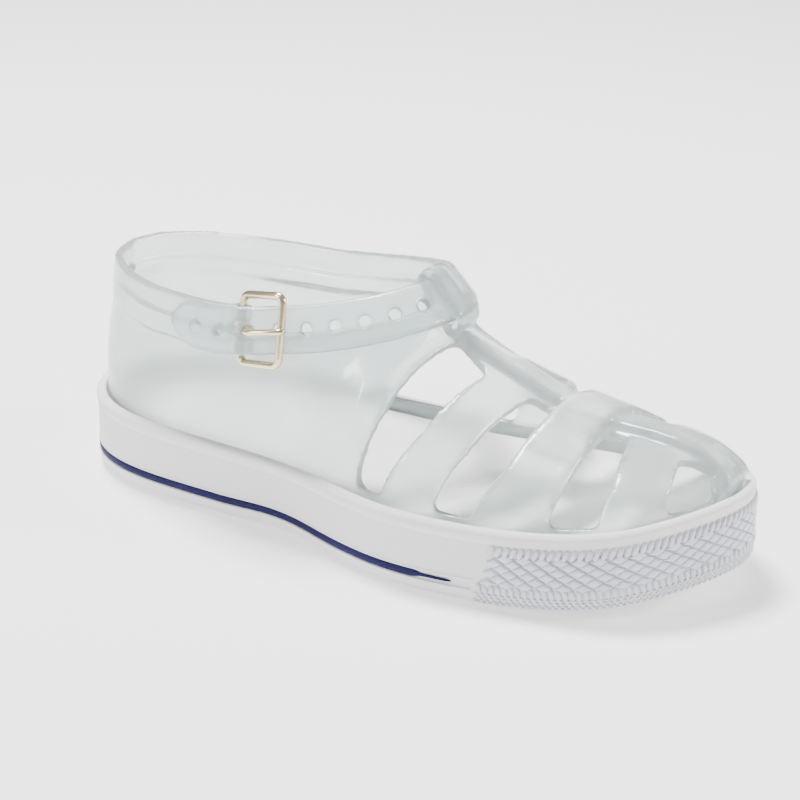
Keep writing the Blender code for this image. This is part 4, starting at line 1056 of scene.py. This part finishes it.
# Slot is the prong's notch in the sleeve, and rises say where the prong climbs, in runs.
buckle = {
    "length": 0.0120, "height": 0.0164, "wire": 0.0019, "prong": 0.0015, "sleeve": 0.0012,
    "slot": 0.0030, "slotEnds": (2.0, 1.3), "run": 0.0034, "rises": (0.9, 1.1, 1.6),
    "root": 1.25, "nose": 0.8, "cornerPoints": 9,
}


# Distance along the ankle loop from the keeper: outer side positive, inner negative.
class AnkleLoop:
    def __init__(self):
        self.rows = np.linspace(0, len(collar) - 1, 200)
        self.walks = {}
        for side in (-1, 1):
            centres = np.array([collarFrame(row, side)[0] for row in self.rows])
            steps = np.linalg.norm(np.diff(centres, axis=0), axis=1)
            self.walks[side] = np.concatenate(([0.0], np.cumsum(steps)))
        self.total = self.walks[-1][-1] + self.walks[1][-1]

    def point(self, distance, rise, out):
        if distance > self.walks[-1][-1]:
            distance -= self.total
        if distance < -self.walks[1][-1]:
            distance += self.total
        side = -1 if distance >= 0 else 1
        row = float(np.interp(abs(distance), self.walks[side], self.rows))
        centre, outwards, upwards = collarFrame(row, side)
        return centre + upwards * rise + outwards * out


loop = AnkleLoop()
rearBar = strap["first"] + strap["buckled"] * strap["pitch"] + buckle["run"]
frontBar = rearBar - buckle["length"]
strapEnd = strap["first"] + (strap["buckled"] + strap["spare"]) * strap["pitch"] + strap["tip"]
sleeveRadius = buckle["wire"] / 2 + fit["gap"] + buckle["sleeve"]
overBar = buckle["wire"] / 2 + fit["gap"] + buckle["prong"] + fit["gap"] + strap["thickness"] / 2
overBand = strap["thickness"] + fit["gap"]
frontOut = strap["thickness"] / 2 + 2 * fit["gap"] + buckle["wire"] / 2


def bandRing(distance, width, thickness, out, ends=1.0):
    half, deep = width / 2 * ends, thickness / 2
    soft, flat = strap["soft"] * thickness, strap["flat"] * deep
    corners = ((-half, flat), (-half + soft, deep), (half - soft, deep), (half, flat),
               (half, -flat), (half - soft, -deep), (-half + soft, -deep), (-half, -flat))
    return [loop.point(distance, rise, out + lift) for rise, lift in corners]


# A round bar between two points of the shoe, as a cutter or a tool.
def rod(name, start, end, radius, sides=24):
    start, end = Vector(map(float, start)), Vector(map(float, end))
    axis = end - start
    bm = bmesh.new()
    bmesh.ops.create_cone(bm, cap_ends=True, segments=sides, radius1=radius, radius2=radius,
                          depth=axis.length)
    mesh = bpy.data.meshes.new(name)
    bm.to_mesh(mesh)
    bm.free()
    mesh.transform(axis.to_track_quat("Z", "Y").to_matrix().to_4x4())
    mesh.transform(Matrix.Translation((start + end) / 2 + Vector(shift)))
    return placed(name, mesh)


def makeUpper():
    item = last("upperSkin", 0.0, fit["gap"], 0.0, False)
    inside = last("inside", fit["wall"], -sole["cupDepth"] / 2, strap["keeperWall"], True)
    plugs = [openingCutter(number, row) for number, row in enumerate(openings)]
    combine(item, [inside] + plugs, "DIFFERENCE")
    print("stage openings", flush=True)
    thick = strap["thickness"] + 2 * strap["clearance"] + 2 * strap["keeperWall"]
    wide = strap["width"] + 2 * strap["clearance"] + 2 * strap["keeperWall"]
    half = strap["keeperWidth"] / 2
    around = np.linspace(-half, half, strap["keeperRings"])
    keeper = loft("keeper", [bandRing(d, wide, thick, 0.0) for d in around], True)
    combine(item, [makeBar(), makeSaddle(), keeper], "UNION")
    reach = half + 2 * strap["clearance"]
    wide, thick = strap["width"] + 2 * strap["clearance"], strap["thickness"] + 2 * strap["clearance"]
    square = ((-1, 1), (1, 1), (1, -1), (-1, -1))
    slot = loft("slot", [[loop.point(d, a * wide / 2, b * thick / 2) for a, b in square]
                         for d in np.linspace(-reach, reach, strap["keeperRings"])], True)
    combine(item, [slot], "DIFFERENCE")
    start, end = -(half - 4 * fit["gap"]), rearBar + sleeveRadius / 2 - loop.total
    band = loft("band", [bandRing(d, strap["width"], strap["thickness"], 0.0)
                         for d in np.linspace(start, end, strap["bandRings"])], True)
    tall = strap["width"] / 2
    sleeve = rod("sleeve", loop.point(rearBar, -tall, 0), loop.point(rearBar, tall, 0), sleeveRadius)
    combine(item, [band, sleeve], "UNION")
    bore = rod("bore", loop.point(rearBar, -2 * tall, 0), loop.point(rearBar, 2 * tall, 0),
               buckle["wire"] / 2 + fit["gap"])
    ahead, behind = buckle["slotEnds"]
    deep = sleeveRadius + fit["gap"]
    notch = loft("notch", [[loop.point(d, a * buckle["slot"] / 2, b * deep) for a, b in square]
                           for d in (rearBar - ahead * sleeveRadius, rearBar + behind * sleeveRadius)], True)
    combine(item, [bore, notch], "DIFFERENCE")
    print("stage skin", flush=True)
    return soften(item, upper["voxel"], upper["smooth"])


# How far the strap's middle stands out of the ankle loop: it climbs over the rear bar.
def strapOut(distance):
    if distance < rearBar:
        u = np.clip((distance - frontBar) / buckle["length"], 0, 1)
        return float(overBar * u ** strap["climb"])
    u = np.clip((distance - rearBar) / (strapEnd - rearBar), 0, 1)
    return float(overBar + (overBand - overBar) * (3 * u * u - 2 * u ** 3))


def makeStrap():
    start = -(strap["keeperWidth"] / 2 - 5 * fit["gap"])
    rings = []
    for d in np.linspace(start, strapEnd, strap["rings"]):
        left = max(0.0, strapEnd - d)
        taper = math.sqrt(max(0.0, 1 - (1 - min(left / strap["tip"], 1.0)) ** 2))
        ends = max(taper, strap["tipLeast"])
        rings.append(bandRing(d, strap["width"], strap["thickness"], strapOut(d), ends))
    item = loft("ankleStrapSkin", rings, True)
    punches = []
    for k in range(strap["buckled"] + strap["spare"] + 1):
        d = strap["first"] + k * strap["pitch"]
        out = strapOut(d)
        punches.append(rod(f"hole{k}", loop.point(d, 0, out - strap["thickness"]),
                           loop.point(d, 0, out + strap["thickness"]), strap["hole"] / 2))
    combine(item, punches, "DIFFERENCE")
    return soften(item, strap["voxel"], strap["smooth"])


# A bent round wire as a closed mesh.
def wire(name, points, diameter, cyclic):
    curve = bpy.data.curves.new(name, "CURVE")
    curve.dimensions = "3D"
    curve.bevel_depth = diameter / 2
    curve.bevel_resolution = 5
    curve.use_fill_caps = not cyclic
    spline = curve.splines.new("POLY")
    spline.points.add(len(points) - 1)
    for target, point in zip(spline.points, points):
        target.co = (*map(float, point + shift), 1.0)
    spline.use_cyclic_u = cyclic
    source = placed(name + "Line", curve)
    bpy.context.view_layer.update()
    graph = bpy.context.evaluated_depsgraph_get()
    mesh = bpy.data.meshes.new_from_object(source.evaluated_get(graph))
    bpy.data.objects.remove(source, do_unlink=True)
    bm = bmesh.new()
    bm.from_mesh(mesh)
    bmesh.ops.remove_doubles(bm, verts=bm.verts, dist=1e-6)
    bmesh.ops.recalc_face_normals(bm, faces=bm.faces)
    bm.to_mesh(mesh)
    bm.free()
    return placed(name, mesh)


def makeBuckle():
    half, corner = buckle["height"] / 2, buckle["wire"]
    front, rear, high = frontBar + corner, rearBar - corner, half - corner
    points = []
    for centre, rise, first in ((front, high, 90), (front, -high, 180), (rear, -high, 270), (rear, high, 0)):
        for k in range(buckle["cornerPoints"]):
            angle = math.radians(first + 90 * k / (buckle["cornerPoints"] - 1))
            d, up = centre + corner * math.cos(angle), rise + corner * math.sin(angle)
            out = 0.0 if d > rearBar - 1e-6 else frontOut * (rearBar - d) / buckle["length"]
            points.append(loop.point(d, up, out))
    ring = wire("buckleWire", points, buckle["wire"], True)
    around = buckle["wire"] / 2 + fit["gap"] + buckle["prong"] / 2
    path = [(rearBar + around * math.cos(math.radians(a)), around * math.sin(math.radians(a)))
            for a in range(-150, 151, 15)]
    over = frontOut + buckle["wire"] / 2 + fit["gap"] + buckle["prong"] / 2
    heights = (buckle["root"] * around, overBar + buckle["prong"] / 2, over + buckle["prong"] / 2)
    path += [(rearBar - rise * buckle["run"], height) for rise, height in zip(buckle["rises"], heights)]
    path += [(frontBar, over), (frontBar - buckle["nose"] * buckle["wire"], over - fit["gap"])]
    prong = wire("prongWire", [loop.point(d, 0.0, out) for d, out in path], buckle["prong"], False)
    return ring, prong


print("stage upper", flush=True)
upperSkin = makeUpper()
# The edge mask where the plastic's colour is darkened as painted shade.
markEdgeShade(upperSkin)
keep(dressed(upperSkin, clearPlastic), "clear_upper", "upper")
ankleStrapSkin = makeStrap()
# The edge mask where the plastic's colour is darkened as painted shade.
markEdgeShade(ankleStrapSkin)
keep(dressed(ankleStrapSkin, clearPlastic), "clear_strap", "ankle_strap")
print("stage buckle", flush=True)
buckleWire, prongWire = makeBuckle()
keep(dressed(buckleWire, goldMetal), "buckle_metal", "buckle_frame")
keep(dressed(prongWire, goldMetal), "prong_metal", "buckle_prong")


# Floor, lights and camera

studio = {
    "floor": (0.95, 0.95, 0.955), "floorSize": 6.0, "floorRoughness": 0.9, "glow": 0.55,
    "world": (1.0, 1.0, 1.0), "worldStrength": 0.42,
    # name, location, aim, size, energy
    "lamps": (
        ("keyLamp", (-0.30, 0.12, 1.00), (0.02, 0.0, 0.02), 0.30, 26.0),
        ("toeLamp", (0.85, 0.35, 0.50), (0.05, 0.0, 0.02), 0.30, 8.0),
        ("fillLamp", (-0.60, -0.80, 0.55), (0.0, 0.0, 0.03), 0.25, 6.0),
    ),
}


def makeStudio():
    bm = bmesh.new()
    bmesh.ops.create_grid(bm, x_segments=1, y_segments=1, size=studio["floorSize"])
    mesh = bpy.data.meshes.new("floor")
    bm.to_mesh(mesh)
    bm.free()
    floor = placed("floor", mesh)
    paint = bpy.data.materials.new("floorPaint")
    paint.use_nodes = True
    shader = paint.node_tree.nodes["Principled BSDF"]
    shader.inputs["Base Color"].default_value = (*studio["floor"], 1.0)
    shader.inputs["Roughness"].default_value = studio["floorRoughness"]
    shader.inputs["Emission Color"].default_value = (1.0, 1.0, 1.0, 1.0)
    shader.inputs["Emission Strength"].default_value = studio["glow"]
    mesh.materials.append(paint)
    world = bpy.data.worlds.new("studioSky")
    bpy.context.scene.world = world
    world.use_nodes = True
    sky = world.node_tree.nodes["Background"]
    sky.inputs["Color"].default_value = (*studio["world"], 1.0)
    sky.inputs["Strength"].default_value = studio["worldStrength"]
    for name, place, aim, size, energy in studio["lamps"]:
        lamp = bpy.data.lights.new(name, "AREA")
        lamp.size = size
        lamp.energy = energy
        item = placed(name, lamp)
        item.location = place
        item.rotation_mode = "QUATERNION"
        item.rotation_quaternion = (Vector(aim) - Vector(place)).to_track_quat("-Z", "Y")


# Angles in degrees, distance and aim in metres from the heel's tip, focal and sensor in mm.
view = {
    "azimuth": 32.76, "elevation": 22.14, "distance": 0.500, "target": (0.089, 0.0, 0.029),
    "focal": 94.0, "sensor": 36.0,
}


def makeCamera():
    a, e = math.radians(view["azimuth"]), math.radians(view["elevation"])
    back = Vector((math.sin(a) * math.cos(e), -math.cos(a) * math.cos(e), math.sin(e)))
    camera = bpy.data.cameras.new("camera")
    camera.sensor_width = view["sensor"]
    camera.lens = view["focal"]
    item = placed("camera", camera)
    item.rotation_mode = "QUATERNION"
    item.location = Vector(view["target"]) + Vector(shift) + back * view["distance"]
    item.rotation_quaternion = (-back).to_track_quat("-Z", "Y")
    bpy.context.scene.camera = item


print("stage studio", flush=True)
makeStudio()
makeCamera()
